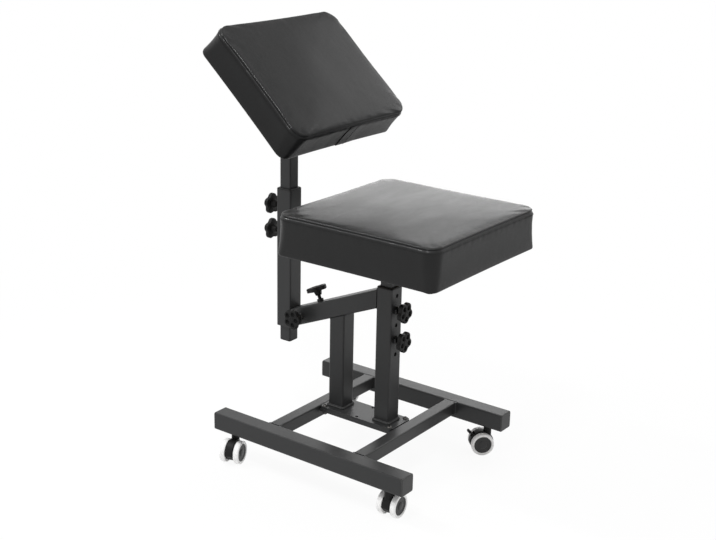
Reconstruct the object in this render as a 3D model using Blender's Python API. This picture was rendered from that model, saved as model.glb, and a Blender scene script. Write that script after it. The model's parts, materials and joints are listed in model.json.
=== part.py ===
"""Rolling salon chair: a height-adjustable seat and a tilting chest pad on a wheeled tube base.

Metres, +Z up, the floor at z = 0. +X is the seat's end, +Y the left side of the chair.
"""
import math

import bmesh
import bpy
from mathutils import Euler, Matrix, Vector

# Clearances
FIT = 0.0003  # between two pieces that touch
SPIN_FIT = 0.0004  # round a pin that turns, facets included

# Square tube stock
TUBE = 0.038
TUBE_WALL = 0.002
TUBE_CORNER = 0.003
SLIM = 0.028  # cross members and the tubes that slide
SLIM_WALL = 0.002
SLIM_CORNER = 0.0025
INNER_CORNER = 0.001  # inside every tube

# Base
RAIL_LENGTH = 0.489  # over the end caps
BASE_WIDTH = 0.409  # over both rails
CROSS_SPACING = 0.220  # between the cross members' middles
CROSS_FORWARD = 0.004  # their midpoint, ahead of the rails' middle
CAP_FLANGE = 0.003
CAP_PLUG = 0.016
LOWER_PLATE = 0.006
FOOT_PLATE = 0.006
FOOT_CORNER = 0.008
FOOT_EDGE_GAP = 0.001  # between the foot plate and each cross member
BOLT_R = 0.003
BOLT_HEAD_R = 0.0055
BOLT_HEAD = 0.004
BOLT_NUT_R = 0.0058  # over the nut's corners
BOLT_NUT = 0.005
BOLT_END = 0.0015  # thread left below the nut
BOLT_EDGE = 0.0006  # plate left on each side of a bolt's head
BOLT_FROM_END = 0.010
SPARE_HOLE_R = 0.0035
PIN_CHAMFER = 0.001

# Casters
CASTER_HEIGHT = 0.065
CASTER_INSET = 0.0445  # stem axis from the rail's end
WHEEL_R = 0.025
WHEEL_WIDTH = 0.0123
WHEEL_SPREAD = 0.0094  # caster's middle to a wheel's inner face
HUB_R = 0.0194
TREAD_ROUND = 0.0015
TRAIL = 0.0132  # stem axis to axle
AXLE_R = 0.003
AXLE_COVER = 0.003  # hub wall left outside the axle's end
HOOD_R = 0.028
HOOD_SIDE_GAP = 0.0005
HOOD_GROUND = 0.005  # hood's lower edge above the floor
HOOD_FOOT = 0.028  # length of that lower edge
HOOD_CHAMFER = 0.0012
HOOD_FROM = math.radians(-20)  # its round rim, from behind the axle
HOOD_TO = math.radians(200)
NECK_R = 0.0085
STEM_R = 0.005
STEM_COLLAR_R = 0.009
STEM_COLLAR = 0.0035
STEM_IN_HOOD = 0.016
STEM_IN_RAIL = 0.024
PEDAL_WIDTH = 0.011
PEDAL = 0.0035
PEDAL_PIVOT_R = 0.003
PEDAL_PIVOT_AT = 0.0225  # pivot from the axle
PEDAL_TIP_AT = 0.041  # tip from the axle
PEDAL_ANGLE = math.radians(42)  # above the trailing direction
PEDAL_SWING_GAP = 0.004  # above and below the lever
# Heading of each caster as photographed, and whether it has a brake
CASTERS = {
    "right_front": (2.5, False),
    "right_rear": (197.0, False),
    "left_front": (134.0, True),
    "left_rear": (-17.0, True),
}

# Column
FRONT_POST_INSET = 0.0395  # post's middle from the foot plate's front end
REAR_POST_INSET = 0.030  # post's middle from the foot plate's rear end
FRONT_POST = 0.296  # above the foot plate
WELD = 0.004  # weld bead round each post's foot
CLAMP_HOLES = 5
CLAMP_PITCH = 0.032
CLAMP_FIRST = 0.0155  # below the front post's top
SEAT_KNOB_HOLES = (1, 3)  # holes counted from the top
ARM_SLOPE = math.radians(22.9)
ARM_BELOW_TOP = 0.0052  # arm's upper edge under the front post's top
MOUTH = 0.012  # closed-in end of a tube that another slides through
ARM_SIDE_KNOB = 0.031  # from the arm's mouth
ARM_TOP_KNOB = 0.083
WELD_NUT_R = 0.0075  # over the corners
WELD_NUT = 0.006
INNER_ARM = 0.200

# Guide bushes
BUSH_FLANGE = 0.003
BUSH_DEPTH = 0.030

# Seat
SEAT_DEPTH = 0.376
SEAT_WIDTH = 0.378
SEAT_EDGE = 0.086  # thickness at the edge
SEAT_CROWN = 0.005
SEAT_CORNER_TOP = 0.030
SEAT_CORNER_LOW = 0.017
SEAT_FORWARD = 0.040  # seat's middle ahead of the front post
SEAT_RISE = 0.081  # underside above the guide bush
SEAT_BOARD = 0.012
SEAT_PLATE = 0.005
SEAT_PLATE_DEPTH = 0.200
SEAT_PLATE_WIDTH = 0.140
SEAT_PLATE_CORNER = 0.012
SEAT_POST_GRIP = 0.225  # length inside the front post

# Backrest
BACKREST_X = -0.207
BACKREST_POST = 0.307
POST_BELOW_ARM = 0.003
BACK_KNOB_FIRST = 0.0405  # below the post's top
BACK_KNOB_PITCH = 0.056
SLIDER_TAIL = 0.035  # below the post's bottom, plug included
PLUG_FLANGE = 0.003
PLUG_DEPTH = 0.014
PIVOT_RISE = 0.1795  # tilt axis above the guide bush
SLIDER_OVER_PIVOT = 0.014
PAD_HEIGHT = 0.286
PAD_WIDTH = 0.365
PAD_EDGE = 0.070
PAD_CROWN = 0.005
PAD_CORNER_TOP = 0.032
PAD_CORNER_LOW = 0.020
PAD_LEAN = math.radians(47.6)
PAD_STANDOFF = 0.035  # tilt axis to the pad's back
PAD_BOARD = 0.010
BRACKET_BASE = 0.004
BRACKET_SIZE = 0.090
BRACKET_CORNER = 0.008
EAR = 0.003
EAR_R = 0.014
EAR_ROOT = 0.046

# Upholstery
BOARD_INSET = 0.010  # board's edge from the cover's side
COVER_ROLL = 0.004  # rounded rim of the top panel
COVER_DRAW = 0.0015  # side drawn in between its corners and between its seams
COVER_SHOULDER = 0.0075  # height of the boxing's rounded upper edge, under the seam
SHOULDER_DRAW = 0.003  # that edge drawn in towards the seam
SEAM_INSET = 0.0012  # the panel's rim behind the boxing
SEAM_DEPTH = 0.0025
SEAM_WIDTH = 0.0012
COVER_HEM = 0.003  # lower edge

# Star knobs
KNOB_R = 0.0226
KNOB_LOBES = 5
KNOB_SCALLOP = 0.0052
KNOB_LOBE_POWER = 3  # above 1 the lobes are broad and the hollows narrow
KNOB_DISC = 0.0095
KNOB_DOME = 0.002
KNOB_POCKET_R = 0.0038  # one in the face of each lobe
KNOB_POCKET_AT = 0.0125  # from the knob's axis
KNOB_POCKET = 0.003
KNOB_HUB_R = 0.009
KNOB_HUB = 0.010
KNOB_NECK_R = 0.0065
SEAT_KNOB_STANDOFF = 0.0055  # hub's foot from the tube
ARM_TOP_KNOB_STANDOFF = 0.0138
ARM_SIDE_KNOB_STANDOFF = 0.012
BACK_KNOB_STANDOFF = 0.0135
TILT_KNOB_STANDOFF = 0.012
KNOB_STUD_R = 0.004

# Facets
ROUND = 16
HALF_ROUND = ROUND // 2
NUT_SIDES = 12
WHEEL_SIDES = 24
KNOB_SIDES = KNOB_LOBES * 6
POCKET_SIDES = 8
HOOD_STEPS = 10
CORNER_STEPS = 2
PLATE_CORNER_STEPS = 3
CUSHION_CORNER_STEPS = 6
CUSHION_SIDE_STEPS = 7
EDGE_TURNS = [math.radians(turn) for turn in (30, 60, 90)]  # round an edge
SHOULDER_TURNS = [math.radians(turn) for turn in (0, 35, 70)]  # up to the seam
ROLL_TURNS = [math.radians(turn) for turn in (0, 45, 90)]  # from the seam to the panel
CROWN_SHARES = (0.8, 0.55, 0.3, 0.1)  # rings of a cushion's top, as shares of its outline
SHARP_EDGE = math.radians(40)

# Worked out from the sizes above
RAIL_TOP = CASTER_HEIGHT + TUBE
RAIL_Y = (BASE_WIDTH - TUBE) / 2
TUBE_BORE = TUBE - 2 * TUBE_WALL
SLIDE_BORE = SLIM + 2 * FIT
FOOT_TOP = RAIL_TOP
FOOT_LENGTH = CROSS_SPACING - SLIM - 2 * FOOT_EDGE_GAP
FRONT_POST_X = CROSS_FORWARD + FOOT_LENGTH / 2 - FRONT_POST_INSET
REAR_POST_X = CROSS_FORWARD - FOOT_LENGTH / 2 + REAR_POST_INSET
BOLT_STRIP = 2 * (BOLT_HEAD_R + BOLT_EDGE)  # plate beside the welds
BOLT_Y = TUBE / 2 + WELD + BOLT_STRIP / 2
PLATE_WIDTH = 2 * BOLT_Y + BOLT_STRIP
POST_FOOT = FOOT_TOP + FIT
FRONT_TOP = FOOT_TOP + FRONT_POST
SEAT_BUSH_TOP = FRONT_TOP + FIT + BUSH_FLANGE
SEAT_UNDER = SEAT_BUSH_TOP + SEAT_RISE
ARM_TALL = TUBE / math.cos(ARM_SLOPE)  # arm measured upright
ARM_START_X = FRONT_POST_X - TUBE / 2 - FIT
ARM_END_X = BACKREST_X + TUBE / 2 + FIT
ARM_TURN = math.pi / 2 - ARM_SLOPE
STUD_REACH = TUBE_WALL + (TUBE_BORE - SLIM) / 2 - FIT
HOOD_HALF = WHEEL_SPREAD - HOOD_SIDE_GAP
AXLE_HALF = WHEEL_SPREAD + WHEEL_WIDTH - AXLE_COVER
COLLAR_UNDER = CASTER_HEIGHT - FIT - STEM_COLLAR
NECK_TOP = COLLAR_UNDER - FIT


def arm_height(x):
    """Height of the arm's middle line at x."""
    at_front_post = FRONT_TOP - ARM_BELOW_TOP - ARM_TALL / 2
    return at_front_post + (x - FRONT_POST_X + TUBE / 2) * math.tan(ARM_SLOPE)


BACKREST_FOOT = arm_height(ARM_END_X) - ARM_TALL / 2 - POST_BELOW_ARM
BACKREST_TOP = BACKREST_FOOT + BACKREST_POST
BACK_BUSH_TOP = BACKREST_TOP + FIT + BUSH_FLANGE
PIVOT_Z = BACK_BUSH_TOP + PIVOT_RISE

# Finishes: colour, roughness, metallic
POWDER_COAT = ((0.052, 0.052, 0.055), 0.45, 0.2)
PLASTIC = ((0.022, 0.022, 0.024), 0.5, 0.0)
ZINC = ((0.12, 0.12, 0.125), 0.4, 0.9)
LEATHERETTE = ((0.030, 0.030, 0.032), 0.42, 0.0)
PLYWOOD = ((0.42, 0.30, 0.18), 0.7, 0.0)
WHEEL = ((0.78, 0.78, 0.77), 0.5, 0.0)


# Outlines, lofts and cuts


def rounded(width, depth, radius, steps=CORNER_STEPS):
    """A rectangle with rounded corners round the origin, counter-clockwise."""
    points = []
    for corner, (side_x, side_y) in enumerate(((1, 1), (-1, 1), (-1, -1), (1, -1))):
        centre = Vector((side_x * (width / 2 - radius), side_y * (depth / 2 - radius), 0))
        for step in range(steps + 1):
            angle = math.pi / 2 * (corner + step / steps)
            points.append(centre + radius * Vector((math.cos(angle), math.sin(angle), 0)))
    return points


def circle(radius, sides=ROUND, start=0.0):
    """A circle round the origin, from an angle."""
    angles = [start + math.tau * i / sides for i in range(sides)]
    return [Vector((radius * math.cos(a), radius * math.sin(a), 0)) for a in angles]


def hexagon(radius):
    """A nut's hexagon over its corners, with a point in the middle of each side too."""
    points = []
    for point in circle(1.0, NUT_SIDES):
        angle = math.atan2(point.y, point.x) % (math.pi / 3) - math.pi / 6
        points.append(point * radius * math.cos(math.pi / 6) / math.cos(angle))
    return points


def star(radius, scallop):
    """A knob's lobed outline."""
    points = []
    for point in circle(1.0, KNOB_SIDES):
        angle = math.atan2(point.y, point.x)
        hollow = abs(math.sin(KNOB_LOBES * angle / 2)) ** KNOB_LOBE_POWER
        points.append(point * (radius - scallop * hollow))
    return points


def ring(outline, z, slope=0.0):
    """An outline lifted to z, on a plane that rises by slope along X."""
    return [Vector((p.x, p.y, z + slope * p.x)) for p in outline]


def loft(rings, closed=False):
    """Skin a run of rings. The ends are capped, or joined to each other if closed."""
    mesh = bmesh.new()
    loops = [[mesh.verts.new(point) for point in points] for points in rings]
    followers = loops[1:] + loops[:1] if closed else loops[1:]
    for low, high in zip(loops, followers):
        for i, vert in enumerate(low):
            after = (i + 1) % len(low)
            mesh.faces.new((vert, low[after], high[after], high[i]))
    if not closed:
        mesh.faces.new(loops[0])
        mesh.faces.new(loops[-1])
    bmesh.ops.recalc_face_normals(mesh, faces=mesh.faces)
    return mesh


def bar(outline, low, high):
    """A straight prism."""
    return loft([ring(outline, low), ring(outline, high)])


def place(mesh, name, parent=None, at=(0, 0, 0), turn=(0, 0, 0), smooth=False):
    """An object that holds a mesh."""
    data = bpy.data.meshes.new(name)
    mesh.to_mesh(data)
    mesh.free()
    if smooth:
        data.shade_smooth()
        data.set_sharp_from_angle(angle=SHARP_EDGE)
    piece = bpy.data.objects.new(name, data)
    bpy.context.scene.collection.objects.link(piece)
    piece.parent = parent
    piece.location = at
    piece.rotation_euler = turn
    return piece


def finish(piece, look):
    """Give a piece its own material."""
    colour, roughness, metallic = look
    material = bpy.data.materials.new(piece.name + "_finish")
    material.use_nodes = True
    shader = material.node_tree.nodes["Principled BSDF"]
    shader.inputs["Base Color"].default_value = (*colour, 1.0)
    shader.inputs["Roughness"].default_value = roughness
    shader.inputs["Metallic"].default_value = metallic
    piece.data.materials.append(material)
    return piece


def carrier(name, at, turn=(0, 0, 0)):
    """An empty on a joint's axis, which carries what the joint moves."""
    empty = bpy.data.objects.new(name, None)
    bpy.context.scene.collection.objects.link(empty)
    empty.location = at
    empty.rotation_euler = turn
    return empty


def combine(piece, mesh, operation, at=(0, 0, 0), turn=(0, 0, 0)):
    """Cut a shape out of a piece or join it on, in the piece's own frame."""
    tool = place(mesh, piece.name + "_" + operation.lower(), piece, at, turn)
    tool.hide_render = True
    tool.display_type = "WIRE"
    modifier = piece.modifiers.new(operation.title(), "BOOLEAN")
    modifier.operation = operation
    modifier.object = tool


def drill(piece, radius, low, high, places=((0, 0, 0),), turn=(0, 0, 0), sides=ROUND):
    """Round holes through the places named, along the turned Z from low to high."""
    way = Euler(turn).to_matrix()
    bits = bmesh.new()
    for spot in places:
        shift = way.transposed() @ Vector(spot)
        for end in (low, high):
            loop = [bits.verts.new(p + shift + Vector((0, 0, end))) for p in circle(radius, sides)]
            bits.faces.new(loop)
    bits.verts.ensure_lookup_table()
    for first in range(0, len(bits.verts), 2 * sides):
        for i in range(sides):
            after = (i + 1) % sides
            corners = (i, after, after + sides, i + sides)
            bits.faces.new([bits.verts[first + corner] for corner in corners])
    bmesh.ops.recalc_face_normals(bits, faces=bits.faces)
    combine(piece, bits, "DIFFERENCE", turn=turn)


ALONG_X = (0, math.pi / 2, 0)
AGAINST_X = (0, -math.pi / 2, 0)
ALONG_Y = (-math.pi / 2, 0, 0)
AGAINST_Y = (math.pi / 2, 0, 0)


# Tubes


def tube_mesh(size, wall, corner, low, high, low_slope=0.0, high_slope=0.0):
    """An open square tube along Z with its ends cut on a slope."""
    outer = rounded(size, size, corner)
    inner = rounded(size - 2 * wall, size - 2 * wall, INNER_CORNER)
    rings = [
        ring(outer, low, low_slope),
        ring(outer, high, high_slope),
        ring(inner, high, high_slope),
        ring(inner, low, low_slope),
    ]
    return loft(rings, closed=True)


def mouth_tube_mesh(length, slope):
    """A main tube whose lower end closes in round the slim tube that slides through it."""
    outer = rounded(TUBE, TUBE, TUBE_CORNER)
    inner = rounded(TUBE_BORE, TUBE_BORE, INNER_CORNER)
    mouth = rounded(SLIDE_BORE, SLIDE_BORE, SLIM_CORNER)
    rings = [
        ring(outer, 0, slope),
        ring(outer, length, slope),
        ring(inner, length, slope),
        ring(inner, MOUTH, slope),
        ring(mouth, MOUTH, slope),
        ring(mouth, 0, slope),
    ]
    return loft(rings, closed=True)


def post_mesh(height, slope=0.0):
    """A main tube standing on a weld bead, its top cut on a slope."""
    outer = rounded(TUBE, TUBE, TUBE_CORNER)
    skirt = rounded(TUBE + 2 * WELD, TUBE + 2 * WELD, TUBE_CORNER + WELD)
    inner = rounded(TUBE_BORE, TUBE_BORE, INNER_CORNER)
    rings = [
        ring(skirt, 0),
        ring(outer, WELD),
        ring(outer, height, slope),
        ring(inner, height, slope),
        ring(inner, 0),
    ]
    return loft(rings, closed=True)


def plug_mesh(size, wall, corner, flange, depth):
    """A plastic tube end: a flange with a softened face, and a plug inside the bore."""
    outer = rounded(size, size, corner)
    face = rounded(size - flange, size - flange, corner)
    bore = size - 2 * wall - 2 * FIT
    plug = rounded(bore, bore, INNER_CORNER)
    tip = rounded(bore - wall, bore - wall, INNER_CORNER)
    rings = [
        ring(face, -flange),
        ring(outer, -flange / 2),
        ring(outer, 0),
        ring(plug, 0),
        ring(plug, depth / 2),
        ring(tip, depth),
    ]
    return loft(rings)


def bush_mesh():
    """A plastic sleeve that guides the slim tube in the main tube's top."""
    sleeve = TUBE_BORE - 2 * FIT
    outer = rounded(TUBE, TUBE, TUBE_CORNER)
    chamfered = rounded(TUBE - BUSH_FLANGE, TUBE - BUSH_FLANGE, TUBE_CORNER)
    body = rounded(sleeve, sleeve, INNER_CORNER)
    bore = rounded(SLIDE_BORE, SLIDE_BORE, SLIM_CORNER)
    rings = [
        ring(chamfered, BUSH_FLANGE),
        ring(outer, BUSH_FLANGE / 2),
        ring(outer, 0),
        ring(body, 0),
        ring(body, -BUSH_DEPTH),
        ring(bore, -BUSH_DEPTH),
        ring(bore, BUSH_FLANGE),
    ]
    return loft(rings, closed=True)


# Base


def build_rails():
    """Two floor rails with a plastic cap in each end."""
    half = RAIL_LENGTH / 2 - CAP_FLANGE - FIT
    for side, sign in (("right", -1), ("left", 1)):
        at = (0, sign * RAIL_Y, CASTER_HEIGHT + TUBE / 2)
        mesh = tube_mesh(TUBE, TUBE_WALL, TUBE_CORNER, -half, half)
        rail = finish(place(mesh, "rail_" + side, None, at, ALONG_X), POWDER_COAT)
        stem_reach = RAIL_LENGTH / 2 - CASTER_INSET
        stems = [(0, 0, -stem_reach), (0, 0, stem_reach)]
        drill(rail, STEM_R + FIT, TUBE / 4, TUBE, stems, ALONG_X)
        for end, along, turn in (("front", 1, AGAINST_X), ("rear", -1, ALONG_X)):
            cap = plug_mesh(TUBE, TUBE_WALL, TUBE_CORNER, CAP_FLANGE, CAP_PLUG)
            cap_at = (along * (half + FIT), at[1], at[2])
            finish(place(cap, "end_cap_" + side + "_" + end, None, cap_at, turn), PLASTIC)


def build_cross_members():
    """Two slim tubes welded between the rails, flush with their tops."""
    half = BASE_WIDTH / 2 - TUBE - FIT
    for end, sign in (("front", 1), ("rear", -1)):
        at = (CROSS_FORWARD + sign * CROSS_SPACING / 2, 0, RAIL_TOP - SLIM / 2)
        mesh = tube_mesh(SLIM, SLIM_WALL, SLIM_CORNER, -half, half)
        finish(place(mesh, "cross_member_" + end, None, at, ALONG_Y), POWDER_COAT)


def bolt_places():
    """The foot bolts' places on the plates."""
    reach = FOOT_LENGTH / 2 - BOLT_FROM_END
    return [
        ("right_front", reach, -BOLT_Y),
        ("right_rear", -reach, -BOLT_Y),
        ("left_front", reach, BOLT_Y),
        ("left_rear", -reach, BOLT_Y),
    ]


def build_plates():
    """The lower plate between the cross members, and the foot plate bolted to it."""
    lower_length = CROSS_SPACING - SLIM - 2 * FIT
    foot_at = (CROSS_FORWARD, 0, FOOT_TOP - FOOT_PLATE)
    lower_at = (CROSS_FORWARD, 0, FOOT_TOP - FOOT_PLATE - FIT - LOWER_PLATE)
    lower_outline = rounded(lower_length, PLATE_WIDTH, TUBE_CORNER)
    lower = place(bar(lower_outline, 0, LOWER_PLATE), "lower_plate", None, lower_at)
    foot_outline = rounded(FOOT_LENGTH, PLATE_WIDTH, FOOT_CORNER, PLATE_CORNER_STEPS)
    foot = place(bar(foot_outline, 0, FOOT_PLATE), "foot_plate", None, foot_at)
    bolts = [(x, y, 0) for _, x, y in bolt_places()]
    for plate, thickness in ((lower, LOWER_PLATE), (foot, FOOT_PLATE)):
        finish(plate, POWDER_COAT)
        drill(plate, BOLT_R + FIT, -thickness, 2 * thickness, bolts)
    spares = [(0, -BOLT_Y, 0), (0, BOLT_Y, 0)]
    drill(foot, SPARE_HOLE_R, -FOOT_PLATE, 2 * FOOT_PLATE, spares)


def build_bolts():
    """Button-head bolts through both plates, each with its nut."""
    grip = FOOT_PLATE + LOWER_PLATE + 3 * FIT
    nut_low = -grip - BOLT_NUT
    shank = circle(BOLT_R, NUT_SIDES)
    rings = []
    for turn in (*reversed(EDGE_TURNS[:-1]), 0):
        rim = circle(BOLT_HEAD_R * math.cos(turn), NUT_SIDES)
        rings.append(ring(rim, BOLT_HEAD * math.sin(turn)))
    rings += [
        ring(shank, 0),
        ring(shank, -grip),
        ring(hexagon(BOLT_NUT_R), -grip),
        ring(hexagon(BOLT_NUT_R), nut_low),
        ring(shank, nut_low),
        ring(circle(BOLT_R - PIN_CHAMFER, NUT_SIDES), nut_low - BOLT_END),
    ]
    for corner, x, y in bolt_places():
        at = (CROSS_FORWARD + x, y, FOOT_TOP + FIT)
        finish(place(loft(rings), "foot_bolt_" + corner, None, at, smooth=True), ZINC)


# Column


def build_posts():
    """The front post with its clamp holes, and the rear post under the arm."""
    front_at = (FRONT_POST_X, 0, POST_FOOT)
    front = place(post_mesh(FRONT_TOP - POST_FOOT), "front_post", None, front_at)
    finish(front, POWDER_COAT)
    first = FRONT_TOP - POST_FOOT - CLAMP_FIRST
    holes = [(0, 0, first - hole * CLAMP_PITCH) for hole in range(CLAMP_HOLES)]
    drill(front, KNOB_STUD_R + SPIN_FIT, TUBE / 4, TUBE, holes, ALONG_X)
    rear_height = arm_height(REAR_POST_X) - ARM_TALL / 2 - FIT / math.cos(ARM_SLOPE) - POST_FOOT
    rear = post_mesh(rear_height, math.tan(ARM_SLOPE))
    finish(place(rear, "rear_post", None, (REAR_POST_X, 0, POST_FOOT)), POWDER_COAT)


def build_arm():
    """The sloping arm, its clamp holes and the nut welded on its top."""
    length = (ARM_START_X - ARM_END_X) / math.cos(ARM_SLOPE)
    at = (ARM_END_X, 0, arm_height(ARM_END_X))
    mesh = mouth_tube_mesh(length, -math.tan(ARM_SLOPE))
    arm = finish(place(mesh, "arm_tube", None, at, (0, ARM_TURN, 0)), POWDER_COAT)
    nut_sunk = TUBE_WALL / 2
    nut = bar(hexagon(WELD_NUT_R), TUBE / 2 - nut_sunk, TUBE / 2 + WELD_NUT)
    combine(arm, nut, "UNION", (0, 0, ARM_TOP_KNOB), AGAINST_X)
    hole_r = KNOB_STUD_R + SPIN_FIT
    drill(arm, hole_r, TUBE / 4, TUBE, [(0, 0, ARM_TOP_KNOB)], AGAINST_X)
    drill(arm, hole_r, TUBE / 4, TUBE, [(0, 0, ARM_SIDE_KNOB)], AGAINST_Y)


# Knobs


def knob_mesh(standoff, reach):
    """A lobed clamp knob: the stud reaches inwards, the hub and the star stand off the tube."""
    hub_top = standoff + KNOB_HUB
    disc_top = hub_top + KNOB_DISC
    stud = circle(KNOB_STUD_R, KNOB_SIDES)
    rings = [
        ring(stud, -reach),
        ring(stud, standoff),
        ring(circle(KNOB_NECK_R, KNOB_SIDES), standoff),
        ring(circle(KNOB_HUB_R, KNOB_SIDES), hub_top),
        ring(star(KNOB_R, KNOB_SCALLOP), hub_top),
        ring(star(KNOB_R, KNOB_SCALLOP), disc_top - KNOB_DOME),
        ring(star(KNOB_R - KNOB_DOME, KNOB_SCALLOP), disc_top),
    ]
    return loft(rings)


def build_knob(name, parent, at, turn, standoff, reach=STUD_REACH):
    """A clamp knob whose axis leaves the tube along the turned Z."""
    knob = finish(place(knob_mesh(standoff, reach), name, parent, at, turn), PLASTIC)
    face = standoff + KNOB_HUB + KNOB_DISC
    pockets = [point * KNOB_POCKET_AT for point in circle(1.0, KNOB_LOBES)]
    drill(knob, KNOB_POCKET_R, face - KNOB_POCKET, face + KNOB_POCKET, pockets, sides=POCKET_SIDES)
    return knob


def build_clamp_knobs(backrest):
    """The knobs that hold the seat post, the inner arm and the backrest slider."""
    for name, hole in zip(("seat_knob_upper", "seat_knob_lower"), SEAT_KNOB_HOLES):
        height = FRONT_TOP - CLAMP_FIRST - hole * CLAMP_PITCH
        at = (FRONT_POST_X + TUBE / 2, 0, height)
        build_knob(name, None, at, ALONG_X, SEAT_KNOB_STANDOFF)
    arm_foot = Vector((ARM_END_X, 0, arm_height(ARM_END_X)))
    along = Vector((math.cos(ARM_SLOPE), 0, math.sin(ARM_SLOPE)))
    upward = Vector((-math.sin(ARM_SLOPE), 0, math.cos(ARM_SLOPE)))
    top_at = arm_foot + ARM_TOP_KNOB * along + TUBE / 2 * upward
    build_knob("arm_knob_top", None, top_at, (0, -ARM_SLOPE, 0), ARM_TOP_KNOB_STANDOFF)
    side_at = arm_foot + ARM_SIDE_KNOB * along - TUBE / 2 * Vector((0, 1, 0))
    build_knob("arm_knob_side", None, side_at, AGAINST_Y, ARM_SIDE_KNOB_STANDOFF)
    for index, name in enumerate(("backrest_knob_upper", "backrest_knob_lower")):
        height = BACKREST_POST - BACK_KNOB_FIRST - index * BACK_KNOB_PITCH
        build_knob(name, backrest, (-TUBE / 2, 0, height), AGAINST_X, BACK_KNOB_STANDOFF)


# Upholstery


def cover_outline(depth, width, corner):
    """A cushion's outline, its sides drawn in a little between the corners."""
    arcs = rounded(depth, width, corner, CUSHION_CORNER_STEPS)
    per_corner = CUSHION_CORNER_STEPS + 1
    points = []
    for index, point in enumerate(arcs):
        points.append(point)
        if index % per_corner == per_corner - 1:
            after = arcs[(index + 1) % len(arcs)]
            inward = -(point + after).normalized()
            for step in range(1, CUSHION_SIDE_STEPS):
                share = step / CUSHION_SIDE_STEPS
                pull = COVER_DRAW * 4 * share * (1 - share)
                points.append(point.lerp(after, share) + pull * inward)
    return points


def inset(outline, amount):
    """An outline drawn in by about the same amount on every side."""
    half_x = max(p.x for p in outline)
    half_y = max(p.y for p in outline)
    scale_x = 1 - amount / half_x
    scale_y = 1 - amount / half_y
    return [Vector((p.x * scale_x, p.y * scale_y, 0)) for p in outline]


def cushion_mesh(depth, width, edge, crown, corner_top, corner_low, board):
    """A crowned cushion, its corners rounder at the top than at the board it is pulled over."""
    cover = cover_outline(depth, width, corner_top)
    foot = cover_outline(depth, width, corner_low)
    waist = [low.lerp(high, 0.5) for low, high in zip(foot, cover)]
    pocket = inset(foot, BOARD_INSET - FIT)
    panel_foot = edge - COVER_ROLL
    box_top = panel_foot - SEAM_WIDTH - COVER_SHOULDER
    rings = [
        ring(pocket, board + FIT),
        ring(pocket, 0),
        ring(inset(foot, COVER_HEM / 2), 0),
        ring(foot, COVER_HEM),
        ring(inset(waist, COVER_DRAW), box_top / 2),
    ]
    for turn in SHOULDER_TURNS:
        drawn = SHOULDER_DRAW * (1 - math.cos(turn))
        rings.append(ring(inset(cover, drawn), box_top + COVER_SHOULDER * math.sin(turn)))
    rings.append(ring(inset(cover, SEAM_INSET + SEAM_DEPTH), panel_foot - SEAM_WIDTH / 2))
    for turn in ROLL_TURNS:
        drawn = SEAM_INSET + COVER_ROLL * (1 - math.cos(turn))
        rings.append(ring(inset(cover, drawn), panel_foot + COVER_ROLL * math.sin(turn)))
    flat = (SEAM_INSET + COVER_ROLL) / (min(depth, width) / 2)
    for share in CROWN_SHARES:
        height = edge + crown * (1 - (share / (1 - flat)) ** 2)
        rings.append(ring([p * share for p in cover], height))
    return loft(rings)


def board_mesh(depth, width, corner, thickness):
    """The plywood board that a cover is pulled over."""
    return bar(inset(cover_outline(depth, width, corner), BOARD_INSET), 0, thickness)


# Seat


def build_seat():
    """The seat post in its guide bush, and the seat on it."""
    bush_at = (FRONT_POST_X, 0, FRONT_TOP + FIT)
    finish(place(bush_mesh(), "seat_guide_bush", None, bush_at), PLASTIC)
    carriage = carrier("seat_carriage", (FRONT_POST_X, 0, SEAT_UNDER))
    plate_low = -FIT - SEAT_PLATE
    post_low = FRONT_TOP - SEAT_POST_GRIP - SEAT_UNDER
    post = tube_mesh(SLIM, SLIM_WALL, SLIM_CORNER, post_low, plate_low - FIT)
    finish(place(post, "seat_post", carriage), POWDER_COAT)
    outline = rounded(SEAT_PLATE_DEPTH, SEAT_PLATE_WIDTH, SEAT_PLATE_CORNER, PLATE_CORNER_STEPS)
    plate = bar(outline, plate_low, -FIT)
    finish(place(plate, "seat_plate", carriage, (SEAT_FORWARD, 0, 0)), POWDER_COAT)
    board = board_mesh(SEAT_DEPTH, SEAT_WIDTH, SEAT_CORNER_LOW, SEAT_BOARD)
    finish(place(board, "seat_board", carriage, (SEAT_FORWARD, 0, 0)), PLYWOOD)
    corners = (SEAT_CORNER_TOP, SEAT_CORNER_LOW)
    cushion = cushion_mesh(SEAT_DEPTH, SEAT_WIDTH, SEAT_EDGE, SEAT_CROWN, *corners, SEAT_BOARD)
    piece = place(cushion, "seat_cushion", carriage, (SEAT_FORWARD, 0, 0), smooth=True)
    finish(piece, LEATHERETTE)


# Backrest


def build_backrest():
    """The inner arm and the backrest post on it, which slide out of the arm together."""
    carriage = carrier("backrest_carriage", (BACKREST_X, 0, BACKREST_FOOT))
    arm_at = (TUBE / 2 + FIT, 0, arm_height(ARM_END_X) - BACKREST_FOOT)
    inner = tube_mesh(SLIM, SLIM_WALL, SLIM_CORNER, 0, INNER_ARM, -math.tan(ARM_SLOPE))
    finish(place(inner, "inner_arm", carriage, arm_at, (0, ARM_TURN, 0)), POWDER_COAT)
    post = place(mouth_tube_mesh(BACKREST_POST, 0.0), "backrest_post", carriage)
    finish(post, POWDER_COAT)
    first = BACKREST_POST - BACK_KNOB_FIRST
    holes = [(0, 0, first), (0, 0, first - BACK_KNOB_PITCH)]
    drill(post, KNOB_STUD_R + SPIN_FIT, TUBE / 4, TUBE, holes, AGAINST_X)
    bush = place(bush_mesh(), "backrest_guide_bush", carriage, (0, 0, BACKREST_POST + FIT))
    finish(bush, PLASTIC)
    return carriage


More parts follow.
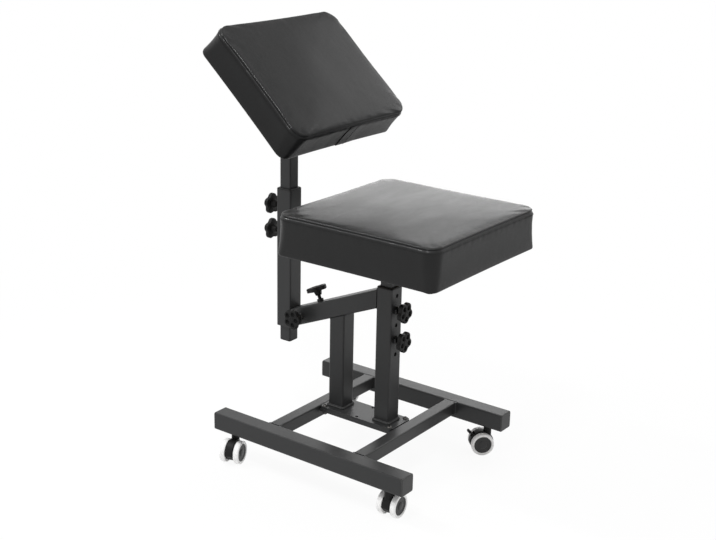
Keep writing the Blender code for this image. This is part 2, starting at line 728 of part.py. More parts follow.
def build_slider():
    """The tube that carries the pad, with a plug in its lower end."""
    carriage = carrier("slider_carriage", (BACKREST_X, 0, PIVOT_Z))
    tail = BACKREST_FOOT - SLIDER_TAIL + PLUG_FLANGE - PIVOT_Z
    tube = tube_mesh(SLIM, SLIM_WALL, SLIM_CORNER, tail + FIT, SLIDER_OVER_PIVOT)
    slider = finish(place(tube, "backrest_slider", carriage), POWDER_COAT)
    drill(slider, KNOB_STUD_R + SPIN_FIT, -SLIM, SLIM, turn=ALONG_Y)
    plug = plug_mesh(SLIM, SLIM_WALL, SLIM_CORNER, PLUG_FLANGE, PLUG_DEPTH)
    finish(place(plug, "slider_plug", carriage, (0, 0, tail)), PLASTIC)


def ear_outline():
    """A bracket ear from the side: round about the pivot, widening to its root. X along the pad."""
    root = PAD_STANDOFF - BRACKET_BASE / 2 - FIT
    points = [Vector((EAR_ROOT / 2, root, 0)), Vector((-EAR_ROOT / 2, root, 0))]
    for step in range(HALF_ROUND + 1):
        angle = math.pi + math.pi * step / HALF_ROUND
        points.append(Vector((EAR_R * math.cos(angle), EAR_R * math.sin(angle), 0)))
    return points


def build_pad():
    """The pad on its bracket, carried on the tilt axis."""
    carriage = carrier("pad_carriage", (BACKREST_X, 0, PIVOT_Z), (0, math.pi / 2 - PAD_LEAN, 0))
    base_low = PAD_STANDOFF - FIT - BRACKET_BASE
    outline = rounded(BRACKET_SIZE, BRACKET_SIZE, BRACKET_CORNER, PLATE_CORNER_STEPS)
    base = bar(outline, base_low, PAD_STANDOFF - FIT)
    bracket = finish(place(base, "pad_bracket", carriage), POWDER_COAT)
    inner_face = SLIM / 2 + FIT
    for side in (-1, 1):
        low = min(side * inner_face, side * (inner_face + EAR))
        ear = bar(ear_outline(), -low - EAR, -low)
        combine(bracket, ear, "UNION", turn=AGAINST_Y)
    nut_low = inner_face + EAR / 2
    nut = bar(hexagon(WELD_NUT_R), nut_low, inner_face + EAR + WELD_NUT)
    combine(bracket, nut, "UNION", turn=AGAINST_Y)
    drill(bracket, KNOB_STUD_R + SPIN_FIT, -BRACKET_SIZE, BRACKET_SIZE, turn=ALONG_Y)
    knob_face = inner_face + EAR
    reach = 2 * knob_face + WELD_NUT
    build_knob("tilt_knob", carriage, (0, knob_face, 0), ALONG_Y, TILT_KNOB_STANDOFF, reach)
    pad_at = (0, 0, PAD_STANDOFF)
    board = board_mesh(PAD_HEIGHT, PAD_WIDTH, PAD_CORNER_LOW, PAD_BOARD)
    finish(place(board, "pad_board", carriage, pad_at), PLYWOOD)
    corners = (PAD_CORNER_TOP, PAD_CORNER_LOW)
    cushion = cushion_mesh(PAD_HEIGHT, PAD_WIDTH, PAD_EDGE, PAD_CROWN, *corners, PAD_BOARD)
    finish(place(cushion, "pad_cushion", carriage, pad_at, smooth=True), LEATHERETTE)


# Casters


def hood_outline():
    """The hood from the side, round the axle: X trails, Y is up."""
    points = []
    for step in range(HOOD_STEPS + 1):
        angle = HOOD_FROM + (HOOD_TO - HOOD_FROM) * step / HOOD_STEPS
        points.append(Vector((HOOD_R * math.cos(angle), HOOD_R * math.sin(angle), 0)))
    foot = HOOD_GROUND - WHEEL_R
    points.append(Vector((-HOOD_FOOT / 2, foot, 0)))
    points.append(Vector((HOOD_FOOT / 2, foot, 0)))
    return points


def hood_mesh():
    """The hood between the wheels, with softened rims. Local Z runs along the axle."""
    rim = hood_outline()
    face = [p * (1 - HOOD_CHAMFER / HOOD_R) for p in rim]
    rings = [
        ring(face, -HOOD_HALF),
        ring(rim, HOOD_CHAMFER - HOOD_HALF),
        ring(rim, HOOD_HALF - HOOD_CHAMFER),
        ring(face, HOOD_HALF),
    ]
    return loft(rings)


# Turns a side view, X trailing and Y up, to stand across the axle with Z along it
SIDE_ON = (math.pi / 2, 0, math.pi / 2)


def build_hood(name, swivel, axle_at, braked):
    """A caster's hood with its neck, bores and, where braked, the pedal's slot."""
    hood = finish(place(hood_mesh(), name, swivel, axle_at, SIDE_ON), PLASTIC)
    neck = bar(circle(NECK_R), 0, NECK_TOP - WHEEL_R)
    upright = (-math.pi / 2, 0, 0)
    combine(hood, neck, "UNION", (-TRAIL, 0, 0), upright)
    bore_low = NECK_TOP - WHEEL_R - STEM_IN_HOOD - FIT
    drill(hood, STEM_R + SPIN_FIT, bore_low, NECK_TOP, [(-TRAIL, 0, 0)], upright)
    drill(hood, AXLE_R + FIT, -HOOD_R, HOOD_R)
    if braked:
        slot_half = PEDAL / 2 + PEDAL_SWING_GAP
        slot_low = PEDAL_PIVOT_AT - PEDAL_PIVOT_R - FIT
        slot_width = PEDAL_WIDTH + 2 * FIT
        corners = [(slot_low, -slot_half), (HOOD_R * 2, -slot_half), (HOOD_R * 2, slot_half)]
        corners.append((slot_low, slot_half))
        outline = [Vector((x, y, 0)) for x, y in corners]
        slot = bar(outline, -slot_width / 2, slot_width / 2)
        combine(hood, slot, "DIFFERENCE", turn=(0, 0, PEDAL_ANGLE))


def stem_mesh():
    """The caster's pin: its lower end turns in the hood, its collar stops under the rail."""
    rings = [
        ring(circle(STEM_R), NECK_TOP - STEM_IN_HOOD),
        ring(circle(STEM_R), COLLAR_UNDER),
        ring(circle(STEM_COLLAR_R), COLLAR_UNDER),
        ring(circle(STEM_COLLAR_R), COLLAR_UNDER + STEM_COLLAR),
        ring(circle(STEM_R), COLLAR_UNDER + STEM_COLLAR),
        ring(circle(STEM_R), CASTER_HEIGHT + STEM_IN_RAIL - PIN_CHAMFER),
        ring(circle(STEM_R - PIN_CHAMFER), CASTER_HEIGHT + STEM_IN_RAIL),
    ]
    return loft(rings)


def wheel_mesh():
    """A wheel turned about the axle: a blind bore, a rounded tread and a hub disc outside."""
    half_step = math.pi / WHEEL_SIDES  # stands the wheel on a facet
    outside = WHEEL_WIDTH
    bore = AXLE_R + SPIN_FIT
    groove = TREAD_ROUND / 2
    profile = [
        (bore, outside - AXLE_COVER + FIT),
        (bore, 0),
        (WHEEL_R - TREAD_ROUND, 0),
        (WHEEL_R, TREAD_ROUND),
        (WHEEL_R, outside - TREAD_ROUND),
        (WHEEL_R - TREAD_ROUND, outside),
        (HUB_R + groove, outside),
        (HUB_R, outside - groove),
    ]
    return loft([ring(circle(radius, WHEEL_SIDES, half_step), z) for radius, z in profile])


def pedal_mesh():
    """A brake lever from the side, swung about the origin: a round pivot and a flat tab."""
    length = PEDAL_TIP_AT - PEDAL_PIVOT_AT
    half = PEDAL / 2
    start = math.asin(half / PEDAL_PIVOT_R)
    outline = []
    for step in range(HALF_ROUND + 1):
        angle = start + (math.tau - 2 * start) * step / HALF_ROUND
        outline.append(PEDAL_PIVOT_R * Vector((math.cos(angle), math.sin(angle), 0)))
    outline.append(Vector((length - half, -half, 0)))
    outline.append(Vector((length, 0, 0)))
    outline.append(Vector((length - half, half, 0)))
    lift = Matrix.Rotation(PEDAL_ANGLE, 3, "Z")
    return bar([lift @ point for point in outline], -PEDAL_WIDTH / 2, PEDAL_WIDTH / 2)


def build_caster(corner, heading, braked):
    """A twin-wheel caster: stem in the rail, hood on the stem, wheels on the axle."""
    along = 1 if corner.endswith("front") else -1
    across = 1 if corner.startswith("left") else -1
    at = (along * (RAIL_LENGTH / 2 - CASTER_INSET), across * RAIL_Y, 0)
    prefix = "caster_" + corner + "_"
    finish(place(stem_mesh(), prefix + "stem", None, at, smooth=True), ZINC)
    swivel = carrier(prefix + "swivel", at, (0, 0, math.radians(heading)))
    axle_at = Vector((0, TRAIL, WHEEL_R))
    build_hood(prefix + "hood", swivel, axle_at, braked)
    axle = bar(circle(AXLE_R), -AXLE_HALF, AXLE_HALF)
    finish(place(axle, prefix + "axle", swivel, axle_at, ALONG_X, smooth=True), ZINC)
    for side, sign, turn in (("a", 1, ALONG_X), ("b", -1, AGAINST_X)):
        wheel_at = axle_at + Vector((sign * WHEEL_SPREAD, 0, 0))
        wheel = place(wheel_mesh(), prefix + "wheel_" + side, swivel, wheel_at, turn, smooth=True)
        finish(wheel, WHEEL)
    if braked:
        reach = Vector((0, math.cos(PEDAL_ANGLE), math.sin(PEDAL_ANGLE)))
        pivot_at = axle_at + PEDAL_PIVOT_AT * reach
        pedal = place(pedal_mesh(), prefix + "brake_pedal", swivel, pivot_at, SIDE_ON)
        finish(pedal, PLASTIC)


def main():
    """Clear the scene and build the chair."""
    for thing in list(bpy.data.objects):
        bpy.data.objects.remove(thing)
    build_rails()
    build_cross_members()
    build_plates()
    build_bolts()
    build_posts()
    build_arm()
    build_seat()
    backrest = build_backrest()
    build_slider()
    build_pad()
    build_clamp_knobs(backrest)
    for corner, (heading, braked) in CASTERS.items():
        build_caster(corner, heading, braked)


main()
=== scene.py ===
"""Rolling salon chair: finishes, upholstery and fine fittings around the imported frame.

Metres, +Z up. Every piece takes its place and its main sizes from the frame.
"""
import json
import math

import bmesh
import bpy
import numpy as np
from mathutils import Matrix, Vector, noise


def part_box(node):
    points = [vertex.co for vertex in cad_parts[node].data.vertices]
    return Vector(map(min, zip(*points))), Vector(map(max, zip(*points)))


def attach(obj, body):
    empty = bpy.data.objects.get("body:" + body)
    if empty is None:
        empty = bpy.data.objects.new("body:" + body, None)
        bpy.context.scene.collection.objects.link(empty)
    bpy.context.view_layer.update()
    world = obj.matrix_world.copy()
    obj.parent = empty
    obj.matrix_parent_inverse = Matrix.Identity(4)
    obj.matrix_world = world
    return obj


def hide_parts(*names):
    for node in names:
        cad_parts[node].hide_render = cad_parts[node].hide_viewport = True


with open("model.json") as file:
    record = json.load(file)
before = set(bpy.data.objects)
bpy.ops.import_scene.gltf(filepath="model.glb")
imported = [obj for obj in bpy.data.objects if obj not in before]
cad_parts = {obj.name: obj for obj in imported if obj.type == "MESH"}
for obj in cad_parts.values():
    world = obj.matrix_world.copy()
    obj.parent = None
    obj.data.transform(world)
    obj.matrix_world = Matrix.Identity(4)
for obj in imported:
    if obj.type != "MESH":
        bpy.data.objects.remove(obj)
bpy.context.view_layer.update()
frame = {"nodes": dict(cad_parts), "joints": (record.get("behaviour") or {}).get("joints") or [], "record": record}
NODES = frame["nodes"]
JOINTS = {joint["name"]: joint for joint in frame["joints"]}
BODIES = frame["record"]["behaviour"]["bodies"]
BODY_OF = {node: body for body, members in BODIES.items() for node in members}

# The view
CAMERA_PLACE = Vector((1.4744, -2.0307, 1.2593))
CAMERA_AZIMUTH = math.radians(36.38)
CAMERA_ELEVATION = math.radians(18.45)
CAMERA_ROLL = math.radians(1.14)
CAMERA_LENS = 64.49  # millimetres, as the sensor is
CAMERA_SENSOR = 36

# The stage
FLOOR_SIZE = 60
FLOOR_DROP = 0.0002  # below the wheels
FLOOR_GLOW = 0.93  # share of the floor's white that shadows leave alone
FLOOR_NEAR = 0.7  # that share grows from here
FLOOR_FAR = 1.6  # and is whole from here
WORLD_LIGHT = 0.5
LAMPS = {
    "overhead": {"place": (0.3, 0.2, 2.8), "aim": (0.0, 0.0, 0.4), "size": (2.4, 2.4), "power": 16},
    "behind": {"place": (-1.2, 2.65, 1.0), "aim": (0.0, 0.0, 0.5), "size": (1.9, 1.0), "power": 15},
    "left": {
        "place": (-1.3, -0.87, 2.26),
        "aim": (0.0, -0.19, 0.53),
        "size": (0.9, 0.14),
        "power": 22,
        "along": (0.78, -0.2, 0.5),
    },
    "front": {
        "place": (0.41, -1.41, 2.57),
        "aim": (-0.12, -0.18, 0.83),
        "size": (0.6, 0.24),
        "power": 26,
        "along": (0.74, 0.0, -0.67),
    },
    "right": {"place": (0.42, 2.44, 2.07), "aim": (0.0, 0.0, 0.75), "size": (1.2, 1.2), "power": 12},
}

# All pieces
EDGE_SAMPLES = 6
EDGE_TURN = (0.004, 0.09)  # 1 - cosine of a normal's turn, from a flat to an edge
SHARP_EDGE = math.radians(35)
TOUCHING = 0.001  # points this near to a face belong to it
TINY = 1e-9

# Cushions
SEAT_CORNERS = (0.030, 0.017)  # corner radii at a cushion's top and at its foot
PAD_CORNERS = (0.032, 0.020)
LEAST_CORNER = 0.002
GRID_HALF = 36  # steps from a panel's middle to its rim
ROLL = 0.004  # rounded rim of the top panel
SEAM_INSET = 0.0012  # panel's rim behind the boxing
CREASE = 0.0023  # seam behind the panel's rim
CREASE_WIDTH = 0.002
SHOULDER = 0.0058  # height of the boxing's rounded upper edge
SHOULDER_DRAW = 0.0037  # that edge drawn in towards the seam
SHOULDER_HELD = 0.5  # share of its height that the seam holds
COVER_DRAW = 0.0015  # middles of the sides drawn in
BOX_STEPS = 12
HEM = 0.003  # rounded lower edge
HEM_ROUND = 0.3  # share of it that the rounding takes off half way
UNDER_LAP = 0.0097  # cover folded under the cushion
UNDER_ROWS = 3  # rows past the cover's lower edge
LINING_GAP = 0.0003  # over the board
CROWN = 0.005
SIDE_FROM = 0.9  # share of the half width past which a point is on the side

# Cloth under pressure
PANEL_SWELL = 0.002  # the most that it adds to a panel
BOXING_SWELL = 0.001
SIM_FRAMES = 20
CLOTH = {
    "quality": 5,
    "mass": 0.4,
    "tension_stiffness": 25,
    "compression_stiffness": 25,
    "shear_stiffness": 15,
    "bending_stiffness": 1.5,
    "shrink_min": -0.006,
    "use_pressure": True,
    "uniform_pressure_force": 4.0,
}

# Waves and puckers of a cover
ROLLING = 0.0004  # height of the soft waves over a panel
ROLLING_PITCH = 0.075
ROLLING_START = 0.05  # distance from the seam at which they are full
PUCKER = 0.00016
PUCKER_PITCH = 0.017
PUCKER_REACH = 0.016
PUCKER_START = 0.004  # distance over which they rise
PUCKER_LEAST = 0.4
PUCKER_WANDER = 0.9
PUCKER_BOXING = 0.6  # share of them on the boxing
WANDER_PITCH = 0.05  # of the change in their spacing
WANDER_SLICE = (3.7, 0.4)  # the line through the noise that is taken
SHINE_RUN = 0.012  # over which the shine grows
SHINE_LEAST = 0.62  # share of it before that

# Stitches, turned edge, staples and lap
STITCH_PITCH = 0.0046
STITCH_LENGTH = 0.0034
STITCH_STEPS = 7
STITCH_RISE = 1.1  # its middle over the cover, in thread radii
STITCH_DIP = 1.6  # its ends below its middle
STITCH_END = 0.05  # least share of the thread's section
THREAD_R = 0.00035
THREAD_SIDES = 6
FOLD = 0.0012  # thickness of the turned edge
FOLD_START = 0.006
FOLD_REACH = 0.034
FOLD_PROFILE = (  # distance from the side, and drop in thicknesses
    (FOLD_START, -0.5),
    (FOLD_START, 0.6),
    (FOLD_START + 0.002, 1.0),
    (FOLD_REACH - 0.001, 1.0),
    (FOLD_REACH, 0.7),
    (FOLD_REACH, -0.1),
)
FOLD_CORNER = 0.75  # share of a half side past which the edge is gathered
FOLD_PLEATS = 60
FOLD_GATHER = 1.6
FOLD_UNEVEN = 0.0025  # how far its cut rim strays
UNEVEN_WAVES = 6
UNEVEN_SLICE = 0.3
STAPLE = 0.0011
STAPLE_LENGTH = 0.010
STAPLE_PITCH = 0.026
STAPLE_INSET = 0.024
STAPLE_CROWN = ((-1, -0.4), (-0.9, 0.6), (0, 1.0), (0.9, 0.6), (1, -0.4))  # along it, and its height
STAPLE_ROUTE_STEPS = 200
LAP = 0.0012
LAP_FROM = -0.010
LAP_WIDTH = 0.055
LAP_STITCH = 0.026
LAP_STEPS = 14

# Star knobs
KNOB_LOBES = 5
KNOB_SIDES = 20 * KNOB_LOBES
KNOB_SCALLOP = 0.0042
KNOB_LOBE_POWER = 3
KNOB_DISC = 0.0095
KNOB_EDGE = 0.0022
KNOB_LOW_EDGE = 0.6 * KNOB_EDGE
KNOB_HUB = 0.010
KNOB_HUB_R = 0.009
KNOB_FILLET = 0.0008  # height of the fillet from hub to lobes
KNOB_FILLET_OUT = 0.0012
KNOB_NECK_R = 0.0065
KNOB_NECK_EDGE = 0.0006
KNOB_STUD_R = 0.004
THREAD_PITCH = 0.00125
THREAD_DEPTH = 0.0005
THREAD_ROOT_AT = 0.2  # share of the pitch
THREAD_CREST_AT = 0.6
KNOB_FACE_SHARES = np.linspace(0.97, 0.04, 22)  # of the lobed outline
KNOB_POCKET_AT = 0.0125
KNOB_POCKET_R = 0.0054
KNOB_POCKET = 0.0042
KNOB_POCKET_EDGE = 0.0012
KNOB_CAP_R = 0.0062
KNOB_CAP = 0.0008
KNOB_CAP_EDGE = 0.0006

# Welds
BEAD = 0.0021
POST_BEAD = 0.003
BEAD_WAVE = 0.13
BEAD_RIPPLE = 0.0028
BEAD_RIPPLE_STEPS = 5
BEAD_SIDES = 10
BEAD_END = 0.02  # share of a tube's side that the corner takes
SIDE_BEAD_STEPS = 12
EDGE_BEAD_STEPS = 30
LOOP_STEPS = 160
POST_END = 0.05  # length taken as a post's end
TUBE_CORNER = 0.003
SLIM_CORNER = 0.0025

# Fasteners
HEX_SIDES = 36
BOLT_R = 0.003
BOLT_CHAMFER = 0.0006
BOLT_HEAD_R = 0.0055
BOLT_DOME = np.radians((10, 25, 40, 55, 70))  # up its round head
SOCKET_R = 0.0023
SOCKET_TOP = 0.94  # shares of the head's height
SOCKET_FLOOR = 0.35
NUT_HEIGHT = 0.005
NUT_CHAMFER = 0.0004
SCREW_SIDES = 32
SCREW_R = 0.0021
SCREW_SUNK = 0.002
SCREW_HEAD_R = 0.0042
SCREW_HEAD = 0.0024
SCREW_PROFILE = ((0.97, 0.0), (1.0, 0.3), (0.88, 0.72), (0.64, 1.0))  # shares of radius and height
CROSS_WIDTH = 0.45  # sine of the angle that an arm takes
CROSS_OUTER = 0.52  # shares of the head's radius
CROSS_INNER = 0.2
CROSS_TAPER = 0.8
CROSS_FLOOR = 0.4  # share of the head's height
SCREW_EDGE = 0.012  # from a plate's edges
BRACKET_BASE = 0.004  # thickness of the pad bracket's base
CLAMP_NUT_R = 0.009  # over its corners
CLAMP_NUT = 0.0048
CLAMP_NUT_SIDE = 0.82 * CLAMP_NUT  # up to its chamfer
CLAMP_NUT_FACE_R = 0.84 * CLAMP_NUT_R
CLAMP_NUT_BORE_R = 0.0044
CLAMP_NUTS = {
    "front_post": ("seat_knob_upper_turn", "seat_knob_lower_turn"),
    "backrest_post": ("backrest_knob_upper_turn", "backrest_knob_lower_turn"),
    "arm_tube": ("arm_knob_side_turn",),
}

# Casters
WHEEL_SIDES = 96
WHEEL_R = 0.025
TYRE_CROWN = 0.0003
TYRE_EDGE = 0.0022
TYRE_INSIDE = 0.0008  # its inner lip, in from the wheel's inner side
TYRE_BEVEL = 0.0007
TYRE_LIP = 0.001  # tyre under the hub's rim
TYRE_LIP_DEPTH = 0.002
HUB_R = 0.0194
HUB_GAP = 0.0004  # between hub and tyre
HUB_CENTRE_R = 0.0034
HUB_INSIDE = 0.0006
HUB_FACE = (  # radius, and depth below the wheel's outer side
    (HUB_R - HUB_GAP, 0.0014),
    (HUB_R - 0.0011, 0.0007),
    (HUB_R - 0.0026, 0.0005),
    (HUB_R - 0.0034, 0.0013),
    (0.0092, 0.0016),
    (0.0086, 0.0008),
    (0.0079, 0.0003),
    (0.0030, 0.0001),
    (0.0006, 0.0),
)
HOOD_SIDES = 120
HOOD_R = 0.0264
HOOD_WEB_R = 0.0195  # hood below the axle
HOOD_DRAWN_OVER = 0.45  # sine of the angle over which the hood draws in to that
HOOD_EDGE = 0.0016
NECK_SIDES = 64
NECK_R = 0.0085
NECK_EDGE = 0.0008
BORE_SIDES = 48
BORE_OVER = 0.001  # bore's cut above the neck
STEM_BORE_R = 0.0054
STEM_BORE = 0.0165
AXLE_BORE_R = 0.0033
PEDAL_ROOM = 0.0058  # above and below the brake lever
PEDAL_ROUND = 0.0033  # round end of the lever, and its clearance
PEDAL_SIDE_GAP = 0.0003
PEDAL_PAD = 0.0029  # half the thickness of the lever's pressed end
PEDAL_PAD_SIDES = 32
PEDAL_PAD_ROUND = 0.45  # power that rounds the section's corners
PEDAL_PAD_RINGS = (  # distance from the tip, and share of the full thickness
    (0.0086, 0.62),
    (0.0078, 0.9),
    (0.0066, 1.0),
    (0.0018, 1.0),
    (0.0006, 0.88),
    (0.0, 0.6),
)


# Node graphs


class Value:
    """A node's output. Arithmetic on it adds Math nodes to its graph."""

    def __init__(self, graph, socket):
        self.graph = graph
        self.socket = socket

    def maths(self, operation, *values):
        return self.graph.node("ShaderNodeMath", {"operation": operation}, dict(enumerate(values)))

    def __add__(self, other):
        return self.maths("ADD", self, other)

    def __radd__(self, other):
        return self.maths("ADD", other, self)

    def __sub__(self, other):
        return self.maths("SUBTRACT", self, other)

    def __rsub__(self, other):
        return self.maths("SUBTRACT", other, self)

    def __mul__(self, other):
        return self.maths("MULTIPLY", self, other)

    def __rmul__(self, other):
        return self.maths("MULTIPLY", other, self)

    def __truediv__(self, other):
        return self.maths("DIVIDE", self, other)

    def __rtruediv__(self, other):
        return self.maths("DIVIDE", other, self)

    def sine(self):
        return self.maths("SINE", self)

    def __abs__(self):
        return self.maths("ABSOLUTE", self)

    def above(self, other):
        return self.maths("MAXIMUM", self, other)

    def between(self, low, high):
        """0 below low and 1 above high, with a smooth way between them."""
        sockets = {"Value": self, "From Min": low, "From Max": high}
        return self.graph.node("ShaderNodeMapRange", {"interpolation_type": "SMOOTHSTEP"}, sockets)


class Graph:
    """A node tree under construction."""

    def __init__(self, tree):
        self.tree = tree

    def plug(self, socket, value):
        if isinstance(value, Value):
            self.tree.links.new(value.socket, socket)
        else:
            socket.default_value = value

    def node(self, kind, settings=None, sockets=None, out=0):
        """Add a node, set its settings, then fill or link its sockets."""
        made = self.tree.nodes.new(kind)
        for name, value in (settings or {}).items():
            setattr(made, name, value)
        for socket, value in (sockets or {}).items():
            self.plug(made.inputs[socket], value)
        return Value(self, made.outputs[out])


class Finish(Graph):
    """A material on a Principled shader."""

    def __init__(self, name, **fixed):
        self.material = bpy.data.materials.new(name)
        self.material.use_nodes = True
        super().__init__(self.material.node_tree)
        self.shader = self.tree.nodes["Principled BSDF"]
        for socket, value in fixed.items():
            self.set(socket.replace("_", " ").title().replace("Ior", "IOR"), value)
        self.place = self.node("ShaderNodeTexCoord", out="Object")

    def set(self, socket, value):
        self.plug(self.shader.inputs[socket], value)

    def stretched(self, scale):
        """Object coordinates scaled by a different amount along each axis."""
        return self.node("ShaderNodeMapping", None, {"Vector": self.place, "Scale": scale})

    def noise(self, scale, detail=2.0, place=None, roughness=0.5):
        sockets = {"Vector": place or self.place, "Scale": scale, "Detail": detail, "Roughness": roughness}
        return self.node("ShaderNodeTexNoise", None, sockets)

    def cells(self, scale):
        """The distance to the nearest border between cells."""
        sockets = {"Vector": self.place, "Scale": scale}
        return self.node("ShaderNodeTexVoronoi", {"feature": "DISTANCE_TO_EDGE"}, sockets, out="Distance")

    def mix(self, factor, low, high):
        """A colour between two."""
        return self.node("ShaderNodeMix", {"data_type": "RGBA"}, {0: factor, 6: low, 7: high}, out=2)

    def rounded_edges(self, radius):
        """The surface's normal, turned smoothly over edges."""
        return self.node("ShaderNodeBevel", {"samples": EDGE_SAMPLES}, {"Radius": radius})

    def edges(self, softened):
        """1 along the edges that a rounded normal softens, 0 on flats."""
        flat = self.node("ShaderNodeNewGeometry", out="Normal")
        sockets = {0: flat, 1: softened}
        facing = self.node("ShaderNodeVectorMath", {"operation": "DOT_PRODUCT"}, sockets, out="Value")
        return (1 - facing).between(*EDGE_TURN)

    def bump(self, height, distance, strength=1.0, normal=None):
        sockets = {"Height": height, "Distance": distance, "Strength": strength}
        if normal:
            sockets["Normal"] = normal
        return self.node("ShaderNodeBump", None, sockets)


def grey(value, warm=0.0):
    """An even colour, a little warm or cool."""
    return (value * (1 + warm), value, value * (1 - warm), 1.0)


# Finishes


def powder_coat():
    """Satin black coat with a fine orange peel, a little thinner along the edges."""
    coat = Finish("powder_coat", specular_ior_level=0.32)
    edge = coat.rounded_edges(0.0009)
    worn = coat.edges(edge) * coat.noise(scale=60.0, detail=3.0).between(0.45, 0.7)
    cloud = coat.noise(scale=9.0, detail=3.0)
    dust = coat.noise(scale=420.0, detail=2.0).between(0.62, 0.78)
    base = coat.mix(cloud, grey(0.019, -0.02), grey(0.026, -0.02))
    base = coat.mix(dust * 0.25, base, grey(0.07))
    coat.set("Base Color", coat.mix(worn * 0.35, base, grey(0.11)))
    coat.set("Roughness", 0.36 + 0.1 * cloud + 0.08 * dust)
    peel = coat.noise(scale=520.0, detail=2.0) + 0.5 * coat.noise(scale=1500.0, detail=1.0)
    coat.set("Normal", coat.bump(peel, distance=0.0001, strength=0.35, normal=edge))
    return coat.material


def moulded_plastic(name, dark, pale, gloss):
    """Moulded plastic with a spark-eroded grain, rubbed smoother on its edges."""
    plastic = Finish(name, specular_ior_level=gloss)
    edge = plastic.rounded_edges(0.0007)
    rubbed = plastic.edges(edge)
    cloud = plastic.noise(scale=45.0, detail=3.0)
    base = plastic.mix(cloud, grey(dark), grey(pale))
    plastic.set("Base Color", plastic.mix(rubbed * 0.3, base, grey(0.035)))
    plastic.set("Roughness", 0.44 + 0.12 * cloud - 0.1 * rubbed)
    grain = plastic.noise(scale=2400.0, detail=2.0)
    plastic.set("Normal", plastic.bump(grain, distance=0.00006, strength=0.4, normal=edge))
    return plastic.material


def black_zinc():
    """Dark zinc plate, finely scratched."""
    zinc = Finish("black_zinc", metallic=1.0)
    edge = zinc.rounded_edges(0.0004)
    scratch = zinc.noise(scale=300.0, detail=4.0, place=zinc.stretched((1.0, 6.0, 1.0)))
    stain = zinc.noise(scale=120.0, detail=2.0)
    zinc.set("Base Color", zinc.mix(stain, grey(0.05, 0.02), grey(0.12, 0.04)))
    zinc.set("Roughness", 0.36 + 0.25 * scratch)
    zinc.set("Normal", zinc.bump(scratch, distance=0.00005, strength=0.3, normal=edge))
    return zinc.material


def leatherette(name, across, gloss, shiny_from):
    """Black grained leatherette: pebbles with painted shade in the valleys between them, fine pores, soft creases
    and a shine towards its sides.
    """
    hide = Finish(name, specular_ior_level=gloss, coat_roughness=0.14)
    pebbles = hide.cells(620.0).between(0.02, 0.32)
    finer = hide.cells(1500.0).between(0.0, 0.25)
    pores = hide.noise(scale=2600.0, detail=2.0)
    patch = hide.noise(scale=14.0, detail=4.0, place=hide.stretched(across), roughness=0.6)
    rubbed = hide.noise(scale=55.0, detail=3.0, place=hide.stretched(across), roughness=0.6)
    mottle = hide.noise(scale=150.0, detail=2.0, place=hide.stretched(across), roughness=0.6)
    base = hide.mix(patch, grey(0.006, -0.02), grey(0.0095, -0.02))
    # painted shade: the colour darkens towards grey(0.004) in the low valleys between the pebbles
    hide.set("Base Color", hide.mix((1 - pebbles) * 0.5, base, grey(0.004)))
    hide.set("Roughness", 0.36 + 0.16 * patch + 0.08 * rubbed - 0.06 * pebbles)
    aside = hide.node("ShaderNodeSeparateXYZ", None, {0: hide.place}, out=1)
    handled = abs(aside).between(shiny_from, shiny_from + SHINE_RUN)
    hide.set("Coat Weight", (SHINE_LEAST + (1 - SHINE_LEAST) * handled) * (0.12 + 0.1 * rubbed))
    grain = pebbles * 0.7 + finer * 0.3 + pores * 0.15
    soft = hide.bump(rubbed + 0.4 * mottle, distance=0.0012, strength=0.25)
    hide.set("Normal", hide.bump(grain, distance=0.00016, strength=0.45, normal=soft))
    return hide.material


def sewing_thread():
    """Bonded black thread, a little uneven in tone."""
    thread = Finish("sewing_thread", specular_ior_level=0.12)
    twist = thread.noise(scale=3200.0, detail=1.0)
    thread.set("Base Color", thread.mix(twist, grey(0.008), grey(0.02)))
    thread.set("Roughness", 0.6 + 0.2 * twist)
    return thread.material


def plywood():
    """Bare plywood, with a long grain and darker fibres in it."""
    wood = Finish("plywood", specular_ior_level=0.3)
    grain = wood.noise(scale=70.0, detail=5.0, place=wood.stretched((1.0, 0.07, 1.0)), roughness=0.62)
    fibre = wood.noise(scale=900.0, detail=2.0, place=wood.stretched((1.0, 0.03, 1.0)))
    tone = wood.mix(grain.between(0.3, 0.7), (0.30, 0.19, 0.10, 1), (0.46, 0.32, 0.19, 1))
    wood.set("Base Color", wood.mix(fibre * 0.4, tone, (0.20, 0.12, 0.06, 1)))
    wood.set("Roughness", 0.62 + 0.2 * fibre)
    wood.set("Normal", wood.bump(fibre + grain, distance=0.0002, strength=0.4))
    return wood.material


def white_tread():
    """Off-white polyurethane with fine scuffs."""
    tread = Finish("white_tread", specular_ior_level=0.45)
    scuff = tread.noise(scale=260.0, detail=4.0).between(0.52, 0.75)
    cloud = tread.noise(scale=30.0, detail=3.0)
    base = tread.mix(cloud, grey(0.88, 0.006), grey(0.94, 0.003))
    tread.set("Base Color", tread.mix(scuff * 0.25, base, grey(0.45, 0.03)))
    tread.set("Roughness", 0.42 + 0.2 * scuff)
    tread.set("Normal", tread.bump(tread.noise(scale=1800.0, detail=2.0), distance=0.00006, strength=0.3))
    return tread.material


def hub_plastic():
    """Dark grey moulded hub, a little polished."""
    hub = Finish("hub_plastic", specular_ior_level=0.22)
    cloud = hub.noise(scale=60.0, detail=3.0)
    hub.set("Base Color", hub.mix(cloud, grey(0.034), grey(0.046)))
    hub.set("Roughness", 0.34 + 0.12 * cloud)
    hub.set("Normal", hub.bump(hub.noise(scale=1900.0, detail=2.0), distance=0.00005, strength=0.35))
    return hub.material


